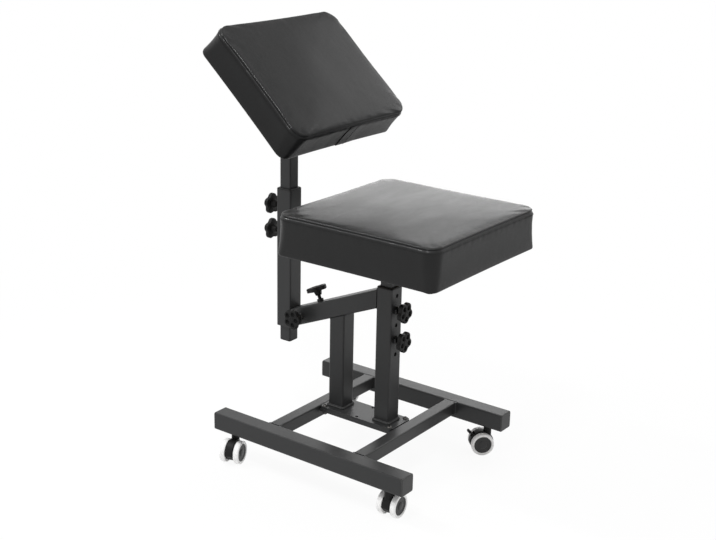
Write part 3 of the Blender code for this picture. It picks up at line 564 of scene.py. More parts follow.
COAT = powder_coat()
PLASTIC = moulded_plastic("moulded_plastic", 0.007, 0.011, 0.16)
CAP_PLASTIC = moulded_plastic("cap_plastic", 0.024, 0.034, 0.45)
ZINC = black_zinc()
SEAT_HIDE = leatherette("seat_leatherette", (1.0, 0.35, 1.0), 0.18, -SHINE_RUN)
PAD_SHINE_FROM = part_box("pad_cushion")[1][1] - 2 * SHINE_RUN
PAD_HIDE = leatherette("pad_leatherette", (0.35, 1.0, 0.35), 0.11, PAD_SHINE_FROM)
THREAD = sewing_thread()
WOOD = plywood()
TREAD = white_tread()
HUB = hub_plastic()

NODE_FINISHES = (
    (WOOD, ("board",)),
    (ZINC, ("bolt", "stem", "axle")),
    (PLASTIC, ("bush", "plug", "knob", "hood", "pedal")),
    (CAP_PLASTIC, ("cap",)),
)


def finish_nodes():
    """Give each carried-over node its finish, by what its name says it is."""
    for name, node in NODES.items():
        finish = COAT
        for material, words in NODE_FINISHES:
            if any(word in name for word in words):
                finish = material
        node.data.materials.clear()
        node.data.materials.append(finish)


# Meshes


def points_of(node):
    """A node's points as an array."""
    mesh = NODES[node].data
    flat = np.empty(len(mesh.vertices) * 3)
    mesh.vertices.foreach_get("co", flat)
    return flat.reshape(-1, 3)


def frame_at(origin, z, x):
    """A frame at a point, its Z along one direction and its X as near as can be to another."""
    z = Vector(z).normalized()
    y = z.cross(Vector(x)).normalized()
    turn = Matrix((y.cross(z), y, z)).transposed().to_4x4()
    return Matrix.Translation(origin) @ turn


def local_points(node, local):
    """A node's points in a local frame."""
    back = np.array(local.inverted())
    return points_of(node) @ back[:3, :3].T + back[:3, 3]


def even_angles(count):
    return np.arange(count) * math.tau / count


def quarter(*degrees):
    """Places along a quarter round, as pairs of 1 - cosine and 1 - sine."""
    return [(1 - math.cos(turn), 1 - math.sin(turn)) for turn in np.radians(degrees)]


def square_round(count):
    """Places round the unit square, at even angles."""
    angles = even_angles(count)
    stretch = np.maximum(abs(np.cos(angles)), abs(np.sin(angles)))
    return np.cos(angles) / stretch, np.sin(angles) / stretch


def polar_rings(rows, count):
    """Rings from pairs of radius and height, each one number or one for each angle."""
    angles = even_angles(count)
    rings = []
    for radius, z in rows:
        x, y = radius * np.cos(angles), radius * np.sin(angles)
        rings.append(np.stack([x, y, np.full(count, z)], 1))
    return rings


def skin(rings, closed=False):
    """A mesh through a run of equal rings. Its ends get faces, or meet if it is closed."""
    mesh = bmesh.new()
    loops = [[mesh.verts.new(point) for point in ring] for ring in rings]
    for low, high in zip(loops, loops[1:] + loops[:1] if closed else loops[1:]):
        for i in range(len(low)):
            after = (i + 1) % len(low)
            mesh.faces.new((low[i], low[after], high[after], high[i]))
    if not closed:
        mesh.faces.new(loops[0])
        mesh.faces.new(loops[-1])
    bmesh.ops.recalc_face_normals(mesh, faces=mesh.faces)
    return mesh


def turned(profile, sides):
    """A closed mesh turned about Z from pairs of radius and height."""
    return skin(polar_rings(profile, sides))


def smoothed(data):
    """Mesh data made smooth apart from its sharp edges."""
    data.shade_smooth()
    data.set_sharp_from_angle(angle=SHARP_EDGE)
    return data


def solid(mesh, name, local=Matrix()):
    """Smoothed mesh data, moved from a local frame into the part's."""
    data = bpy.data.meshes.new(name)
    mesh.to_mesh(data)
    mesh.free()
    data.transform(local)
    return smoothed(data)


def result_of(holder, name):
    """The plain mesh that an object's modifiers give."""
    shown = holder.evaluated_get(bpy.context.evaluated_depsgraph_get())
    data = bpy.data.meshes.new_from_object(shown)
    data.name = name
    return data


def placed(name, data):
    """An object in the scene with mesh data."""
    thing = bpy.data.objects.new(name, data)
    bpy.context.scene.collection.objects.link(thing)
    return thing


def fitted(name, data, body, slot, material, *replaced):
    """A piece on its body, with its finish, in place of the nodes named."""
    piece = placed(name, data)
    data.materials.clear()
    data.materials.append(material)
    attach(piece, body)
    if replaced:
        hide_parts(*replaced)
    return piece


# Repeats


class Repeat(Graph):
    """A Geometry Nodes tree that turns a path or points into one plain mesh."""

    def __init__(self, name, **inputs):
        super().__init__(bpy.data.node_groups.new(name, "GeometryNodeTree"))
        face = self.tree.interface
        face.new_socket("Geometry", in_out="INPUT", socket_type="NodeSocketGeometry")
        self.keys = {}
        for label, kind in {**inputs, "Material": "Material"}.items():
            socket = face.new_socket(label, in_out="INPUT", socket_type="NodeSocket" + kind)
            self.keys[label] = socket.identifier
        face.new_socket("Geometry", in_out="OUTPUT", socket_type="NodeSocketGeometry")
        self.entry = self.tree.nodes.new("NodeGroupInput")
        self.way_out = self.tree.nodes.new("NodeGroupOutput")

    def given(self, label):
        return Value(self, self.entry.outputs[label])

    def attribute(self, name, kind):
        return self.node("GeometryNodeInputNamedAttribute", {"data_type": kind}, {"Name": name})

    def path(self):
        """The geometry given, as a curve."""
        return self.node("GeometryNodeMeshToCurve", None, {"Mesh": self.given("Geometry")})

    def end(self, geometry):
        """Close the tree: real geometry with its material."""
        real = self.node("GeometryNodeRealizeInstances", None, {"Geometry": geometry})
        sockets = {"Geometry": real, "Material": self.given("Material")}
        self.plug(self.way_out.inputs["Geometry"], self.node("GeometryNodeSetMaterial", None, sockets))

    def end_with_items(self, points, turn):
        """Close the tree with a turned copy of the item on each point."""
        shape = self.node("GeometryNodeObjectInfo", None, {"Object": self.given("Item")}, out="Geometry")
        sockets = {"Points": points, "Instance": shape, "Rotation": turn}
        self.end(self.node("GeometryNodeInstanceOnPoints", None, sockets))

    def make(self, name, source, **values):
        """Run the tree on mesh data and return the plain mesh that it gives."""
        holder = placed(name + "_source", source)
        modifier = holder.modifiers.new(name, "NODES")
        modifier.node_group = self.tree
        for label, value in values.items():
            modifier[self.keys[label]] = value
        data = result_of(holder, name)
        bpy.data.objects.remove(holder)
        return data


def items_on_points():
    """Copies of an item on points, each with its Z along the point's way."""
    tree = Repeat("items_on_points", Item="Object")
    way = tree.attribute("way", "FLOAT_VECTOR")
    turn = tree.node("FunctionNodeAlignRotationToVector", {"axis": "Z"}, {"Vector": way})
    tree.end_with_items(tree.given("Geometry"), turn)
    return tree


def items_on_path():
    """Copies of an item along a path, X along it and Z along the path's way."""
    tree = Repeat("items_on_path", Item="Object", Pitch="Float")
    sockets = {"Curve": tree.path(), "Length": tree.given("Pitch")}
    points = tree.node("GeometryNodeCurveToPoints", {"mode": "LENGTH"}, sockets)
    tangent = Value(tree, points.socket.node.outputs["Tangent"])
    along = tree.node("FunctionNodeAlignRotationToVector", {"axis": "X"}, {"Vector": tangent})
    settings = {"axis": "Z", "pivot_axis": "X"}
    sockets = {"Rotation": along, "Vector": tree.attribute("way", "FLOAT_VECTOR")}
    turn = tree.node("FunctionNodeAlignRotationToVector", settings, sockets)
    tree.end_with_items(points, turn)
    return tree


def bead_on_path():
    """A weld bead along a path, with the ripple that its passes leave."""
    tree = Repeat("bead_on_path", Ripple="Float")
    ripple = tree.given("Ripple")
    sockets = {"Curve": tree.path(), "Length": ripple / BEAD_RIPPLE_STEPS}
    fine = tree.node("GeometryNodeResampleCurve", {"mode": "LENGTH"}, sockets)
    length = tree.node("GeometryNodeSplineParameter", out="Length")
    wave = (length / ripple * math.tau).sine()
    thick = tree.attribute("size", "FLOAT") * (1 + BEAD_WAVE * wave)
    beaded = tree.node("GeometryNodeSetCurveRadius", None, {"Curve": fine, "Radius": thick})
    sockets = {"Resolution": BEAD_SIDES, "Radius": 1.0}
    circle = tree.node("GeometryNodeCurvePrimitiveCircle", None, sockets)
    sockets = {"Curve": beaded, "Profile Curve": circle, "Scale": thick, "Fill Caps": True}
    tree.end(tree.node("GeometryNodeCurveToMesh", None, sockets))
    return tree


ITEMS_ON_POINTS = items_on_points()
ITEMS_ON_PATH = items_on_path()
BEAD_ON_PATH = bead_on_path()


def path_mesh(*runs):
    """Points joined by edges. A run has its points and may have ways, a size and a closed end."""
    points, edges, ways, sizes = [], [], [], []
    for run in runs:
        first, count = len(points), len(run["points"])
        points += [tuple(point) for point in run["points"]]
        last = count if run.get("closed") else count - 1
        edges += [(first + i, first + (i + 1) % count) for i in range(last)]
        ways += [tuple(way) for way in run.get("ways", [(0, 0, 1)] * count)]
        sizes += [run.get("size", 1.0)] * count
    data = bpy.data.meshes.new("path")
    data.from_pydata(points, edges, [])
    data.attributes.new("way", "FLOAT_VECTOR", "POINT").data.foreach_set("vector", np.ravel(ways))
    data.attributes.new("size", "FLOAT", "POINT").data.foreach_set("value", sizes)
    return data


def item(mesh, name):
    """A shape for a Geometry Nodes tree to copy. It isn't in the scene itself."""
    return bpy.data.objects.new(name, solid(mesh, name))


# Upholstery


def rim_places(steps):
    """Places round the rim of a square grid, counter-clockwise from its corner at +X and -Y."""
    last = 2 * steps
    places = [(last, j) for j in range(last)]
    places += [(last - i, last) for i in range(last)]
    places += [(0, last - j) for j in range(last)]
    places += [(i, 0) for i in range(last)]
    return places


def on_rectangle(u, v, half_x, half_y, corner, draw):
    """Where points of the unit square land on a rounded rectangle with its sides drawn in."""
    ring = np.maximum(np.maximum(abs(u), abs(v)), TINY)

    def swing(share, half):
        straight = half - corner
        run = abs(share) * (straight + corner * math.pi / 4)
        angle = np.maximum(run - straight, 0) / corner
        along = np.where(run <= straight, run, straight + corner * np.sin(angle))
        pulled = draw * np.maximum(1 - (run / straight) ** 2, 0)
        return np.sign(share) * along, corner * (1 - np.cos(angle)) + pulled

    along_y, back_x = swing(v / ring, half_y)
    along_x, back_y = swing(u / ring, half_x)
    on_x = abs(u) >= abs(v)
    x = np.where(on_x, np.sign(u) * (half_x - back_x), along_x)
    y = np.where(on_x, along_y, np.sign(v) * (half_y - back_y))
    return ring * x, ring * y


class Cushion:
    """A boxed cushion: a panel sewn to a boxing, which is folded under and round its board."""

    def __init__(self, node, board, local, corners):
        self.local = local
        points = local_points(node, local)
        low, high = points.min(0), points.max(0)
        self.middle = (low + high) / 2
        self.half = (high - low)[:2] / 2
        self.under = low[2]
        self.top = high[2] - CROWN
        self.board_top = local_points(board, local)[:, 2].max()
        self.corner_top, self.corner_low = corners
        self.build()

    def ring(self, u, v, inset, corner, z):
        """Points of the unit square set on the cushion, in from its sides and at a height."""
        half_x, half_y = self.half - inset
        x, y = on_rectangle(u, v, half_x, half_y, max(corner - inset, LEAST_CORNER), COVER_DRAW)
        return np.stack([x + self.middle[0], y + self.middle[1], np.full_like(x, z)], -1)

    def outward(self, points):
        """Level directions from the cushion's middle to points."""
        away = points[..., :2] - self.middle[:2]
        return away / np.linalg.norm(away, axis=-1, keepdims=True)

    def profile(self):
        """Rings from the panel's rim to the board: inset from the side, height, pinned or not."""
        seam_top = self.top - ROLL
        shoulder_top = seam_top - CREASE_WIDTH
        box_top, box_low = shoulder_top - SHOULDER, self.under + HEM
        rings = [(SEAM_INSET + ROLL * b, self.top - ROLL * a, False) for a, b in quarter(25, 50, 70, 90)]
        rings.append((SEAM_INSET + CREASE, seam_top - CREASE_WIDTH / 2, True))
        self.crease_row = len(rings)
        for a, b in quarter(15, 40, 65, 90):
            rings.append((SHOULDER_DRAW * b, shoulder_top - SHOULDER * a, a < SHOULDER_HELD))
        self.shoulder_row = len(rings)
        for step in range(1, BOX_STEPS + 1):
            share = step / BOX_STEPS
            drawn = COVER_DRAW * 4 * share * (1 - share)
            rings.append((drawn, box_top + (box_low - box_top) * share, step == BOX_STEPS))
        rings.append((HEM * HEM_ROUND, self.under + HEM * HEM_ROUND, True))
        rings.append((HEM, self.under, True))
        rings.append((UNDER_LAP, self.under, True))
        return rings

    def build(self):
        """The cover's points, its rows round the cushion, its pinned points and its faces."""
        line = np.arange(2 * GRID_HALF + 1) / GRID_HALF - 1
        size = len(line)
        u, v = np.meshgrid(line, line, indexing="ij")
        rim = np.array([i * size + j for i, j in rim_places(GRID_HALF)])
        self.rim = u.ravel()[rim], v.ravel()[rim]
        panel = self.ring(u, v, SEAM_INSET + ROLL, self.corner_top, self.top)
        panel[..., 2] += (CROWN - PANEL_SWELL) * (1 - u**2) * (1 - v**2)
        panel = panel.reshape(-1, 3)
        lining_at = self.board_top + LINING_GAP
        lining = self.ring(u, v, UNDER_LAP, self.corner_low, lining_at).reshape(-1, 3)
        sides, side_pins = [], []
        for inset, z, pinned in self.profile():
            share = (self.top - z) / (self.top - self.under)
            corner = self.corner_top + (self.corner_low - self.corner_top) * min(max(share, 0), 1)
            sides.append(self.ring(*self.rim, inset, corner, z))
            side_pins.append(np.full(len(rim), pinned))
        starts = len(panel) + len(rim) * np.arange(len(sides) + 1)
        self.rows = [rim] + [np.arange(at, at + len(rim)) for at in starts[:-1]] + [starts[-1] + rim]
        self.points = np.concatenate([panel, *sides, lining])
        self.pins = np.concatenate([np.zeros(len(panel), bool), *side_pins, np.ones(len(lining), bool)])
        self.panel_count = len(panel)
        index = np.arange(size * size).reshape(size, size)
        cells = [index[:-1, :-1], index[1:, :-1], index[1:, 1:], index[:-1, 1:]]
        cells = np.stack([corner.ravel() for corner in cells], 1)
        faces = [cells, starts[-1] + cells[:, ::-1]]
        for upper, lower in zip(self.rows, self.rows[1:]):
            faces.append(np.stack([upper, lower, np.roll(lower, -1), np.roll(upper, -1)], 1))
        self.faces = np.concatenate(faces).tolist()

    def mesh(self, name):
        data = bpy.data.meshes.new(name)
        data.from_pydata([tuple(point) for point in self.points], [], self.faces)
        data.update()
        return data

    def swell(self):
        """Let cloth under pressure fill the cover out, and keep a little of that."""
        holder = placed("cover_cloth", self.mesh("cover_cloth"))
        pin = holder.vertex_groups.new(name="pin")
        pin.add(np.flatnonzero(self.pins).tolist(), 1.0, "REPLACE")
        cloth = holder.modifiers.new("Cloth", "CLOTH")
        for setting, value in CLOTH.items():
            setattr(cloth.settings, setting, value)
        cloth.settings.vertex_group_mass = "pin"
        cloth.settings.effector_weights.gravity = 0
        cloth.point_cache.frame_start = 1
        cloth.point_cache.frame_end = SIM_FRAMES
        scene = bpy.context.scene
        for step in range(1, SIM_FRAMES + 1):
            scene.frame_set(step)
        shown = holder.evaluated_get(bpy.context.evaluated_depsgraph_get())
        flat = np.empty(len(self.points) * 3)
        shown.data.vertices.foreach_get("co", flat)
        scene.frame_set(1)
        bpy.data.objects.remove(holder)
        moved = flat.reshape(-1, 3) - self.points
        size = np.linalg.norm(moved, axis=1, keepdims=True)
        limit = np.full((len(moved), 1), BOXING_SWELL)
        limit[: self.panel_count] = PANEL_SWELL
        self.points += moved * limit / (limit + size)

    def settle(self):
        """Soft waves over the panel, and puckers that run out from the seam."""
        loop = self.points[self.rows[self.crease_row]]
        span = np.linalg.norm(np.diff(loop, axis=0, append=loop[:1]), axis=1)
        along = np.concatenate([[0], np.cumsum(span)[:-1]])
        for index in np.flatnonzero(~self.pins):
            point = self.points[index]
            nearest = int(np.argmin(((loop - point) ** 2).sum(1)))
            away = math.dist(loop[nearest], point)
            wander = noise.noise(Vector((along[nearest] / WANDER_PITCH, *WANDER_SLICE)))
            ripple = math.sin(math.tau * (along[nearest] / PUCKER_PITCH + PUCKER_WANDER * wander))
            strength = PUCKER * (PUCKER_LEAST + abs(wander)) * math.exp(-away / PUCKER_REACH)
            lift = strength * ripple * min(away / PUCKER_START, 1)
            if index < self.panel_count:
                wave = ROLLING * noise.noise(Vector(point) / ROLLING_PITCH)
                point[2] += lift + wave * min(away / ROLLING_START, 1)
            else:
                point[:2] += self.outward(point) * lift * PUCKER_BOXING

    def fold(self, name):
        """The cover's edge turned under the board, gathered at the corners, with a cut rim."""
        u, v = self.rim
        near_corner = np.minimum(abs(u), abs(v)) - FOLD_CORNER
        gathered = np.clip(near_corner / (1 - FOLD_CORNER), 0, 1)
        angle = np.unwrap(np.arctan2(v, u))
        gather = gathered * (0.5 + 0.5 * np.sin(angle * FOLD_PLEATS))
        waves = UNEVEN_WAVES * np.stack([np.cos(angle), np.sin(angle)], 1)
        uneven = np.array([noise.noise((x, y, UNEVEN_SLICE)) for x, y in waves])
        rings = []
        for reach, drop in FOLD_PROFILE:
            ring = self.ring(u, v, reach, self.corner_low, self.under)
            if reach > FOLD_REACH / 2:
                ring[:, :2] += self.outward(ring) * (FOLD_UNEVEN * uneven)[:, None]
            ring[:, 2] -= FOLD * drop * (1 + FOLD_GATHER * gather)
            rings.append(ring)
        return solid(skin(rings, closed=True), name, self.local)

    def staple_path(self):
        """Where the staples run, under the turned edge."""
        places = square_round(STAPLE_ROUTE_STEPS)
        ring = self.ring(*places, STAPLE_INSET, self.corner_low, self.under - FOLD)
        return path_mesh({"points": ring, "ways": [(0, 0, -1)] * len(ring), "closed": True})

    def boxing_at(self, y):
        """Points down the boxing's +X side at a place along it, from its shoulder to its hem."""
        column = []
        for row in self.rows[self.shoulder_row - 1 : -UNDER_ROWS]:
            side = self.points[row]
            side = side[side[:, 0] > self.middle[0] + self.half[0] * SIDE_FROM]
            side = side[np.argsort(side[:, 1])]
            column.append((np.interp(y, side[:, 1], side[:, 0]), y, np.interp(y, side[:, 1], side[:, 2])))
        return np.array(column)

    def lap(self, name):
        """The boxing's one end lapped over its other end."""
        rings = []
        for share in np.linspace(0, 1, LAP_STEPS):
            column = self.boxing_at(self.middle[1] + LAP_FROM + LAP_WIDTH * share)
            raised = column + (LAP * (1 - share**2), 0, 0)
            sunk = column - (LAP, 0, 0)
            rings.append(np.concatenate([raised, sunk[::-1]]))
        return solid(skin(rings), name, self.local)

    def lap_path(self):
        """Where the stitches run down the lapped end."""
        column = self.boxing_at(self.middle[1] + LAP_FROM + LAP_STITCH)
        column[:, 0] += LAP * (1 - (LAP_STITCH / LAP_WIDTH) ** 2)
        return path_mesh({"points": column, "ways": [(1, 0, 0)] * len(column)})

    def row_path(self, row):
        """A path round the cover along one of its rows, with the way out of the surface."""
        before, points, after = (self.points[self.rows[at]] for at in (row - 1, row, row + 1))
        along = np.roll(points, -1, 0) - np.roll(points, 1, 0)
        ways = np.cross(along, before - after)
        ways /= np.linalg.norm(ways, axis=1, keepdims=True)
        if (ways[:, :2] * (points - self.middle)[:, :2]).sum() < 0:
            ways = -ways
        return path_mesh({"points": points, "ways": ways, "closed": True})


def stitch_mesh():
    """One stitch: a short length of thread that dips at both ends."""
    angles = even_angles(THREAD_SIDES)
    rings = []
    for share in np.linspace(-1, 1, STITCH_STEPS):
        reach = STITCH_LENGTH / 2 * share
        lift = THREAD_R * (STITCH_RISE - STITCH_DIP * share**4)
        thin = THREAD_R * math.sqrt(max(1 - share**6, STITCH_END))
        rings.append([(reach, thin * math.cos(a), lift + thin * math.sin(a)) for a in angles])
    return skin(rings)


def staple_mesh():
    """One staple's crown, pressed a little into the cover."""
    corners = ((-1, -1), (1, -1), (1, 1), (-1, 1))
    half = STAPLE / 2
    rings = []
    for share, lift in STAPLE_CROWN:
        reach = STAPLE_LENGTH / 2 * share
        rings.append([(reach, half * y, half * (z + lift) / 2) for y, z in corners])
    return skin(rings)


STITCH_ITEM = item(stitch_mesh(), "stitch")
STAPLE_ITEM = item(staple_mesh(), "staple")


def sew(name, path, local, body):
    """A row of stitches along a path."""
    stitches = ITEMS_ON_PATH.make(name, path, Item=STITCH_ITEM, Pitch=STITCH_PITCH, Material=THREAD)
    stitches.transform(local)
    fitted(name, stitches, body, "leatherette", THREAD)


def staple(name, path, local, body):
    """A row of staples along a path."""
    staples = ITEMS_ON_PATH.make(name, path, Item=STAPLE_ITEM, Pitch=STAPLE_PITCH, Material=ZINC)
    staples.transform(local)
    fitted(name, staples, body, "zinc_steel", ZINC)


def upholster(name, node, board, local, corners, hide, body):
    """The cushion that stands for a node, with its stitches, its turned edge and its staples."""
    cushion = Cushion(node, board, local, corners)
    cushion.swell()
    cushion.settle()
    data = cushion.mesh(name)
    data.transform(local)
    data.shade_smooth()
    piece = fitted(name, data, body, "leatherette", hide, node)
    smooth = piece.modifiers.new("Smooth", "SUBSURF")
    smooth.levels = smooth.render_levels = 1
    sew(name + "_stitches", cushion.row_path(cushion.shoulder_row), local, body)
    fold = cushion.fold(name + "_fold")
    fitted(fold.name, fold, body, "leatherette", hide)
    staple(name + "_staples", cushion.staple_path(), local, body)
    return cushion


def lap_boxing(cushion, hide, body):
    """The join in a cushion's boxing, on its lower side, and the stitches down it."""
    lap = cushion.lap("boxing_lap")
    fitted(lap.name, lap, body, "leatherette", hide)
    sew("boxing_lap_stitches", cushion.lap_path(), cushion.local, body)


def pad_frame():
    """The pad's own frame, on its tilt axis: Z out of the pad, X down along it."""
    mesh = NODES["pad_board"].data
    flat_face = max(mesh.polygons, key=lambda face: face.area)
    out = flat_face.normal if flat_face.normal.z > 0 else -flat_face.normal
    return frame_at(JOINTS["pad_tilt"]["pos_m"], out, Vector((0, 1, 0)).cross(out))


# Knobs


def lobed(radius):
    """A knob's radius at each of its angles, with a hollow between its lobes."""
    hollow = abs(np.sin(KNOB_LOBES * even_angles(KNOB_SIDES) / 2)) ** KNOB_LOBE_POWER
    return radius - KNOB_SCALLOP * hollow


def knob_face(radius, top):
    """Rows from a knob's rim to its middle: a pocket in each lobe and a low cap."""
    angles = even_angles(KNOB_SIDES)
    lobe = np.round(angles / math.tau * KNOB_LOBES) * math.tau / KNOB_LOBES
    rim = lobed(radius - KNOB_EDGE)
    rows = []
    for share in KNOB_FACE_SHARES:
        r = rim * share
        away = np.hypot(
            r * np.cos(angles) - KNOB_POCKET_AT * np.cos(lobe),
            r * np.sin(angles) - KNOB_POCKET_AT * np.sin(lobe),
        )
        sunk = KNOB_POCKET * np.clip((KNOB_POCKET_R - away) / KNOB_POCKET_EDGE, 0, 1)
        cap = KNOB_CAP * np.clip((KNOB_CAP_R - r) / KNOB_CAP_EDGE, 0, 1)
        rows.append((r, top - sunk + cap))
    return rows


def knob_shape(radius, foot, top):
    """A star knob: threaded stud, tapered hub, rounded lobes and a pocket in each lobe's face."""
    disc_low = top - KNOB_DISC
    hub_foot = disc_low - KNOB_HUB
    rows = [(KNOB_STUD_R - THREAD_DEPTH * 2, foot)]
    turns = int((hub_foot - foot) / THREAD_PITCH)
    for turn in range(turns):
        start = foot + (hub_foot - foot) * turn / turns
        rows.append((KNOB_STUD_R - THREAD_DEPTH, start + THREAD_PITCH * THREAD_ROOT_AT))
        rows.append((KNOB_STUD_R, start + THREAD_PITCH * THREAD_CREST_AT))
    rows += [
        (KNOB_STUD_R - THREAD_DEPTH, hub_foot),
        (KNOB_NECK_R - KNOB_NECK_EDGE, hub_foot),
        (KNOB_NECK_R, hub_foot + KNOB_NECK_EDGE),
        (KNOB_HUB_R, disc_low - KNOB_FILLET),
        (KNOB_HUB_R + KNOB_FILLET_OUT, disc_low),
        (lobed(radius - 2 * KNOB_LOW_EDGE), disc_low),
    ]
    for a, b in quarter(30, 60, 90):
        rows.append((lobed(radius - KNOB_LOW_EDGE * b), disc_low + KNOB_LOW_EDGE * a))
    for a, b in quarter(0, 22, 45, 67, 90):
        rows.append((lobed(radius - KNOB_EDGE * a), top - KNOB_EDGE * b))
    return turned(rows + knob_face(radius, top), KNOB_SIDES)


def build_knobs():
    """A fine knob in place of each plain one, its lobes where the plain one has them."""
    for node in [name for name in NODES if "knob" in name]:
        joint = JOINTS[node + "_turn"]
        axis = Vector(joint["axis"])
        origin = Vector(joint["pos_m"])
        local = frame_at(origin, axis, axis.orthogonal())
        points = local_points(node, local)
        radii = np.linalg.norm(points[:, :2], axis=1)
        tip = points[int(np.argmax(radii))]
        toward = local.to_3x3() @ Vector((tip[0], tip[1], 0))
        shape = knob_shape(radii.max(), points[:, 2].min(), points[:, 2].max())
        data = solid(shape, node + "_fine", frame_at(origin, axis, toward))
        fitted(node + "_fine", data, BODY_OF[node], "black_plastic", PLASTIC, node)


# Casters


def tyre_profile(width):
    """A tyre from its inner lip round the tread to its outer lip."""
    shoulder = WHEEL_R - TYRE_CROWN
    pairs = [(HUB_R - TYRE_LIP, TYRE_INSIDE), (WHEEL_R - TYRE_EDGE, 0)]
    pairs += [(shoulder - TYRE_EDGE * b, TYRE_EDGE * a) for a, b in quarter(30, 60, 90)]
    pairs.append((WHEEL_R, width / 2))
    pairs += [(shoulder - TYRE_EDGE * a, width - TYRE_EDGE * b) for a, b in quarter(0, 30, 60, 90)]
    pairs.append((HUB_R + TYRE_BEVEL, width))
    pairs.append((HUB_R, width - TYRE_BEVEL))
    pairs.append((HUB_R - TYRE_LIP, width - TYRE_LIP_DEPTH))
    return pairs


def hub_profile(width):
    """A hub: flat inside, and outside a dished disc with a raised ring and a centre cap."""
    inside = [(HUB_CENTRE_R, HUB_INSIDE), (HUB_R - HUB_GAP, HUB_INSIDE)]
    return inside + [(radius, width - depth) for radius, depth in HUB_FACE]


def build_wheels():
    """Tyre and hub in place of each plain wheel."""
    for node in [name for name in NODES if "_wheel_" in name]:
        joint = JOINTS[node + "_spin"]
        axis = Vector(joint["axis"])
        origin = Vector(joint["pos_m"])
        centre = Vector(points_of(node).mean(0))
        if (centre - origin).dot(axis) < 0:
            axis = -axis
        local = frame_at(origin, axis, (0, 0, 1))
        heights = local_points(node, local)[:, 2]
        local = local @ Matrix.Translation((0, 0, heights.min()))
        width = heights.max() - heights.min()
        body = BODY_OF[node]
        tyre = solid(turned(tyre_profile(width), WHEEL_SIDES), node + "_tyre", local)
        fitted(tyre.name, tyre, body, "wheel", TREAD, node)
        hub = solid(turned(hub_profile(width), WHEEL_SIDES), node + "_hub", local)
        fitted(hub.name, hub, body, "wheel", HUB)


def shaped(name, data, *steps):
    """Mesh data after Boolean steps, each an operation and the mesh data that it takes."""
    holder = placed(name, data)
    used = [holder]
    for operation, tool_data in steps:
        tool = placed("tool", tool_data)
        used.append(tool)
        modifier = holder.modifiers.new(operation, "BOOLEAN")
        modifier.operation = operation
        modifier.object = tool
    result = result_of(holder, name)
    for thing in used:
        bpy.data.objects.remove(thing)
    return smoothed(result)


def hood_block(half):
    """The hood between the wheels: wide over them, drawn in below the axle. Z runs along the axle."""
    share = np.clip(-np.sin(even_angles(HOOD_SIDES)) / HOOD_DRAWN_OVER, 0, 1)
    outline = HOOD_R + (HOOD_WEB_R - HOOD_R) * share**2 * (3 - 2 * share)
    rounds = quarter(0, 30, 60, 90)
    rows = [(outline - HOOD_EDGE * b, HOOD_EDGE * a - half) for a, b in rounds]
    rows += [(outline - HOOD_EDGE * b, half - HOOD_EDGE * a) for a, b in rounds[::-1]]
    return solid(turned(rows, HOOD_SIDES), "hood_block")


def pedal_slot(local, lever, pedal, pivot):
    """The room that a brake lever swings in, from its pivot outwards."""
    wide = local_points(pedal, lever)[:, 2].max() + PEDAL_SIDE_GAP
    near, far = math.hypot(pivot.x, pivot.y) - PEDAL_ROUND, 2 * HOOD_R
    corners = ((near, -PEDAL_ROOM), (far, -PEDAL_ROOM), (far, PEDAL_ROOM), (near, PEDAL_ROOM))
    rings = [[(x, y, z) for x, y in corners] for z in (-wide, wide)]
    return solid(skin(rings), "slot", local.inverted() @ lever)


def build_pedal_pad(lever, pedal):
    """The thicker end that a foot presses, on a brake lever. X runs along the lever."""
    points = local_points(pedal, lever)
    tip, wide = points[:, 0].max(), points[:, 2].max()
    angles = even_angles(PEDAL_PAD_SIDES)
    y = np.sign(np.cos(angles)) * abs(np.cos(angles)) ** PEDAL_PAD_ROUND
    z = np.sign(np.sin(angles)) * abs(np.sin(angles)) ** PEDAL_PAD_ROUND
    rings = []
    for back, share in PEDAL_PAD_RINGS:
        thick, broad = PEDAL_PAD * share, wide * (1 + share) / 2
        rings.append(np.stack([np.full_like(y, tip - back), thick * y, broad * z], 1))
    data = solid(skin(rings), pedal + "_pad", lever)
    fitted(data.name, data, BODY_OF[pedal], "black_plastic", PLASTIC)


def build_hoods():
    """A fine hood in place of each plain one: neck, bores and, where braked, the lever's slot."""
    upright = Matrix.Rotation(-math.pi / 2, 4, "X")
    for node in [name for name in NODES if name.endswith("_hood")]:
        prefix = node[: -len("hood")]
        axle = Vector(JOINTS[prefix + "wheel_a_spin"]["pos_m"])
        across = Vector(JOINTS[prefix + "wheel_a_spin"]["axis"])
        stem = Vector(JOINTS[prefix + "swivel"]["pos_m"])
        stem.z = axle.z
        middle = axle - across * (axle - stem).dot(across)
        local = frame_at(middle, (middle - stem).cross((0, 0, 1)), middle - stem)
        points = local_points(node, local)
        at_stem = Matrix.Translation((-(middle - stem).length, 0, 0)) @ upright
        top = points[:, 1].max()
        half = points[:, 2].max()
        neck = [(NECK_R, 0), (NECK_R, top - NECK_EDGE), (NECK_R - NECK_EDGE, top)]
        bore = [(STEM_BORE_R, top - STEM_BORE), (STEM_BORE_R, top + BORE_OVER)]
        pin = [(AXLE_BORE_R, -2 * half), (AXLE_BORE_R, 2 * half)]
        steps = [
            ("UNION", solid(turned(neck, NECK_SIDES), "neck", at_stem)),
            ("DIFFERENCE", solid(turned(bore, BORE_SIDES), "bore", at_stem)),
            ("DIFFERENCE", solid(turned(pin, BORE_SIDES), "pin")),
        ]
        pedal = prefix + "brake_pedal"
        if pedal in NODES:
            pivot = local.inverted() @ Vector(JOINTS[prefix + "brake_press"]["pos_m"])
            lever = local @ Matrix.Rotation(math.atan2(pivot.y, pivot.x), 4, "Z")
            steps.append(("DIFFERENCE", pedal_slot(local, lever, pedal, pivot)))
            build_pedal_pad(lever, pedal)
        data = shaped(node + "_fine", hood_block(half), *steps)
        data.transform(local)
        fitted(data.name, data, BODY_OF[node], "black_plastic", PLASTIC, node)


# Welds


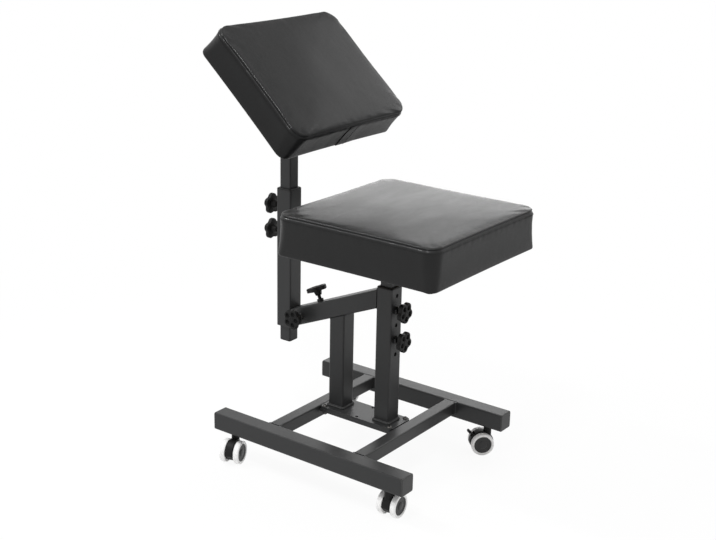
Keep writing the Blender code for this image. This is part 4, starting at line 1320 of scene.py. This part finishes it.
def rounded_loop(low, high, corner, z):
    """A closed run round an upright box's outline, at a height."""
    middle = (np.array(low[:2]) + np.array(high[:2])) / 2
    half = (np.array(high[:2]) - np.array(low[:2])) / 2
    x, y = on_rectangle(*square_round(LOOP_STEPS), *half, corner, 0.0)
    points = np.stack([x + middle[0], y + middle[1], np.full_like(x, z)], 1)
    return {"points": points, "closed": True}


def weld(name, body, *runs):
    """A body's weld beads."""
    beads = BEAD_ON_PATH.make(name, path_mesh(*runs), Ripple=BEAD_RIPPLE, Material=COAT)
    beads.shade_smooth()
    fitted(name, beads, body, "powder_coat", COAT)


def cross_member_beads():
    """Beads down, under and up again where a cross member meets a rail."""
    runs = []
    for node in ("cross_member_front", "cross_member_rear"):
        low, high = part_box(node)
        corners = ((low[0], high[2]), (low[0], low[2]), (high[0], low[2]), (high[0], high[2]))
        for y in (low[1], high[1]):
            points = []
            for (x_a, z_a), (x_b, z_b) in zip(corners, corners[1:]):
                for share in np.linspace(BEAD_END, 1 - BEAD_END, SIDE_BEAD_STEPS):
                    points.append((x_a + (x_b - x_a) * share, y, z_a + (z_b - z_a) * share))
            runs.append({"points": points, "size": BEAD})
    return runs


def post_beads():
    """Beads round the feet of the two posts."""
    runs = []
    foot_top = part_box("foot_plate")[1][2]
    for node in ("front_post", "rear_post"):
        upright = points_of(node)
        upright = upright[upright[:, 2] > foot_top + POST_END]
        low, high = upright.min(0) - BEAD / 2, upright.max(0) + BEAD / 2
        loop = rounded_loop(low, high, TUBE_CORNER + BEAD / 2, foot_top + BEAD / 2)
        runs.append({**loop, "size": POST_BEAD})
    return runs


def arm_beads():
    """Beads across the arm tube's end on the front post, and across the rear post's top."""
    arm, rear = points_of("arm_tube"), points_of("rear_post")
    arm_end = arm[arm[:, 0] > arm[:, 0].max() - TOUCHING]
    rear_top = rear[rear[:, 2] > rear[:, 2].max() - POST_END]
    edges = [(arm_end[:, 0].max(), z) for z in (arm_end[:, 2].max(), arm_end[:, 2].min())]
    for x in (rear_top[:, 0].min(), rear_top[:, 0].max()):
        at_x = rear_top[abs(rear_top[:, 0] - x) < TOUCHING / 2]
        edges.append((x, at_x[:, 2].max()))
    reach = arm_end[:, 1].max() - TUBE_CORNER
    across = np.linspace(-reach, reach, EDGE_BEAD_STEPS)
    return [{"points": [(x, y, z) for y in across], "size": BEAD} for x, z in edges]


def build_welds():
    """Beads where tubes and plates are welded, under the coat."""
    weld("base_welds", "base", *cross_member_beads(), *post_beads(), *arm_beads())
    loop = rounded_loop(*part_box("seat_post"), SLIM_CORNER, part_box("seat_plate")[0][2])
    weld("seat_welds", "seat", {**loop, "size": BEAD})


# Fasteners


def hexed(radius):
    """A hexagon's radius at each of its even angles."""
    angles = even_angles(HEX_SIDES)
    return radius * math.cos(math.pi / 6) / np.cos((angles % (math.pi / 3)) - math.pi / 6)


def bolt_mesh(head, grip, nut, end):
    """A button-head bolt with its socket and its nut. Its head sits on z = 0."""
    nut_low = -grip - nut
    tip = nut_low - end
    rows = [
        (BOLT_R - BOLT_CHAMFER, tip),
        (BOLT_R, tip + BOLT_CHAMFER),
        (BOLT_R, nut_low),
        (hexed(BOLT_HEAD_R - NUT_CHAMFER), nut_low),
        (hexed(BOLT_HEAD_R), nut_low + NUT_CHAMFER),
        (hexed(BOLT_HEAD_R), -grip),
        (BOLT_R, -grip),
        (BOLT_R, 0),
        (BOLT_HEAD_R, 0),
    ]
    rows += [(BOLT_HEAD_R * math.cos(turn), head * math.sin(turn)) for turn in BOLT_DOME]
    rows += [(hexed(SOCKET_R), head * share) for share in (SOCKET_TOP, SOCKET_FLOOR)]
    return turned(rows, HEX_SIDES)


def screw_mesh():
    """A pan-head screw with a cross recess. Its head sits on z = 0."""
    on_arm = abs(np.sin(2 * even_angles(SCREW_SIDES))) < CROSS_WIDTH
    cross = SCREW_HEAD_R * np.where(on_arm, CROSS_OUTER, CROSS_INNER)
    rows = [(SCREW_R, -SCREW_SUNK), (SCREW_R, 0)]
    rows += [(SCREW_HEAD_R * out, SCREW_HEAD * up) for out, up in SCREW_PROFILE]
    rows += [(cross, SCREW_HEAD), (cross * CROSS_TAPER, SCREW_HEAD * CROSS_FLOOR)]
    return turned(rows, SCREW_SIDES)


def clamp_nut_mesh():
    """A nut that a clamp knob screws into, chamfered on its open side."""
    rows = [
        (CLAMP_NUT_BORE_R, 0),
        (hexed(CLAMP_NUT_R), 0),
        (hexed(CLAMP_NUT_R), CLAMP_NUT_SIDE),
        (CLAMP_NUT_FACE_R, CLAMP_NUT),
        (CLAMP_NUT_BORE_R, CLAMP_NUT),
    ]
    return skin(polar_rings(rows, HEX_SIDES), closed=True)


def fasten(name, body, shape, places, *replaced, finish=("zinc_steel", ZINC)):
    """Copies of a fastener on a body. A place is a point and the way that the head faces."""
    slot, material = finish
    points, ways = zip(*places)
    source = path_mesh({"points": points, "ways": ways})
    fasteners = ITEMS_ON_POINTS.make(name, source, Item=shape, Material=material)
    fitted(name, fasteners, body, slot, material, *replaced)


def near_corners(low, high):
    """Places for screws near a plate's four corners."""
    across = (low[0] + SCREW_EDGE, high[0] - SCREW_EDGE)
    along = (low[1] + SCREW_EDGE, high[1] - SCREW_EDGE)
    return [(x, y) for x in across for y in along]


def build_foot_bolts():
    """The bolts that hold the column's foot plate on the lower plate."""
    bolts = [name for name in NODES if name.startswith("foot_bolt")]
    foot_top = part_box("foot_plate")[1][2]
    plate_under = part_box("lower_plate")[0][2]
    places = []
    for bolt in bolts:
        low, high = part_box(bolt)
        places.append((((low[0] + high[0]) / 2, (low[1] + high[1]) / 2, foot_top), (0, 0, 1)))
    end = plate_under - low[2] - NUT_HEIGHT
    shape = bolt_mesh(high[2] - foot_top, foot_top - plate_under, NUT_HEIGHT, end)
    fasten("foot_bolts", "base", item(shape, "bolt"), places, *bolts)


def build_screws():
    """The screws of the seat's plate and of the pad's bracket."""
    screw = item(screw_mesh(), "screw")
    low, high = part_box("seat_plate")
    places = [((x, y, low[2]), (0, 0, -1)) for x, y in near_corners(low, high)]
    fasten("seat_screws", "seat", screw, places)
    local = pad_frame()
    bracket = local_points("pad_bracket", local)
    top = bracket[:, 2].max()
    base = bracket[bracket[:, 2] > top - TOUCHING]
    out = local.to_3x3() @ Vector((0, 0, -1))
    corners = near_corners(base.min(0), base.max(0))
    places = [(local @ Vector((x, y, top - BRACKET_BASE)), out) for x, y in corners]
    fasten("pad_screws", "pad", screw, places)


def build_clamp_nuts():
    """The nuts welded on the tubes under the clamp knobs, where the frame has none."""
    nut = item(clamp_nut_mesh(), "clamp_nut")
    for tube, turns in CLAMP_NUTS.items():
        places = [(JOINTS[turn]["pos_m"], JOINTS[turn]["axis"]) for turn in turns]
        fasten(tube + "_nuts", BODY_OF[tube], nut, places, finish=("powder_coat", COAT))


# Stage


def in_view(graph):
    """1 for the rays that show a surface: straight, by reflection or through glass."""
    kinds = ("Is Camera Ray", "Is Glossy Ray", "Is Transmission Ray")
    straight, mirrored, through = [graph.node("ShaderNodeLightPath", out=kind) for kind in kinds]
    return straight.above(mirrored).above(through)


def studio_floor():
    """A pale paint that keeps a soft shadow and runs into the white behind it."""
    paint = Finish("studio_floor", base_color=grey(0.9), roughness=0.9, specular_ior_level=0.0)
    glow = paint.node("ShaderNodeEmission", None, {"Color": grey(1.0), "Strength": 1.0})
    away = paint.node("ShaderNodeVectorMath", {"operation": "LENGTH"}, {0: paint.place}, out="Value")
    share = FLOOR_GLOW + (1 - FLOOR_GLOW) * away.between(FLOOR_NEAR, FLOOR_FAR)
    sockets = {0: in_view(paint) * share, 1: Value(paint, paint.shader.outputs[0]), 2: glow}
    mixed = paint.node("ShaderNodeMixShader", None, sockets)
    paint.plug(paint.tree.nodes["Material Output"].inputs["Surface"], mixed)
    return paint.material


def build_floor():
    bpy.ops.mesh.primitive_plane_add(size=FLOOR_SIZE, location=(0, 0, -FLOOR_DROP))
    floor = bpy.context.object
    floor.name = "floor"
    floor.data.materials.append(studio_floor())


def build_world():
    """A white surround for the eye and for reflections, and a dimmer one as light."""
    world = bpy.data.worlds.new("studio")
    bpy.context.scene.world = world
    world.use_nodes = True
    graph = Graph(world.node_tree)
    background = world.node_tree.nodes["Background"]
    background.inputs["Color"].default_value = grey(1.0)
    graph.plug(background.inputs["Strength"], WORLD_LIGHT + (1 - WORLD_LIGHT) * in_view(graph))


def softbox(name, place, aim, size, power, along=(1, 0, 0)):
    """An area lamp aimed at a point. Its size is along a direction, then across it."""
    lamp = bpy.data.lights.new(name, "AREA")
    lamp.shape = "RECTANGLE"
    lamp.size, lamp.size_y = size
    lamp.energy = power
    holder = placed(name, lamp)
    holder.matrix_world = frame_at(place, Vector(place) - Vector(aim), along)


def build_camera():
    """A camera at the place and angle that the photograph was taken from."""
    level_back = Vector((math.sin(CAMERA_AZIMUTH), -math.cos(CAMERA_AZIMUTH), 0))
    back = level_back * math.cos(CAMERA_ELEVATION) + Vector((0, 0, math.sin(CAMERA_ELEVATION)))
    right = Vector((math.cos(CAMERA_AZIMUTH), math.sin(CAMERA_AZIMUTH), 0))
    level = Matrix((right, back.cross(right), back)).transposed()
    camera = placed("camera", bpy.data.cameras.new("camera"))
    camera.data.sensor_width = CAMERA_SENSOR
    camera.data.lens = CAMERA_LENS
    camera.rotation_euler = (level @ Matrix.Rotation(CAMERA_ROLL, 3, "Z")).to_euler()
    camera.location = CAMERA_PLACE
    bpy.context.scene.camera = camera


finish_nodes()
upholster("seat_cover", "seat_cushion", "seat_board", Matrix(), SEAT_CORNERS, SEAT_HIDE, "seat")
pad = upholster("pad_cover", "pad_cushion", "pad_board", pad_frame(), PAD_CORNERS, PAD_HIDE, "pad")
lap_boxing(pad, PAD_HIDE, "pad")
build_knobs()
build_wheels()
build_hoods()
build_welds()
build_foot_bolts()
build_screws()
build_clamp_nuts()
build_floor()
build_world()
for lamp_name, lamp_settings in LAMPS.items():
    softbox(lamp_name, **lamp_settings)
build_camera()
bpy.context.scene.view_settings.view_transform = "Standard"
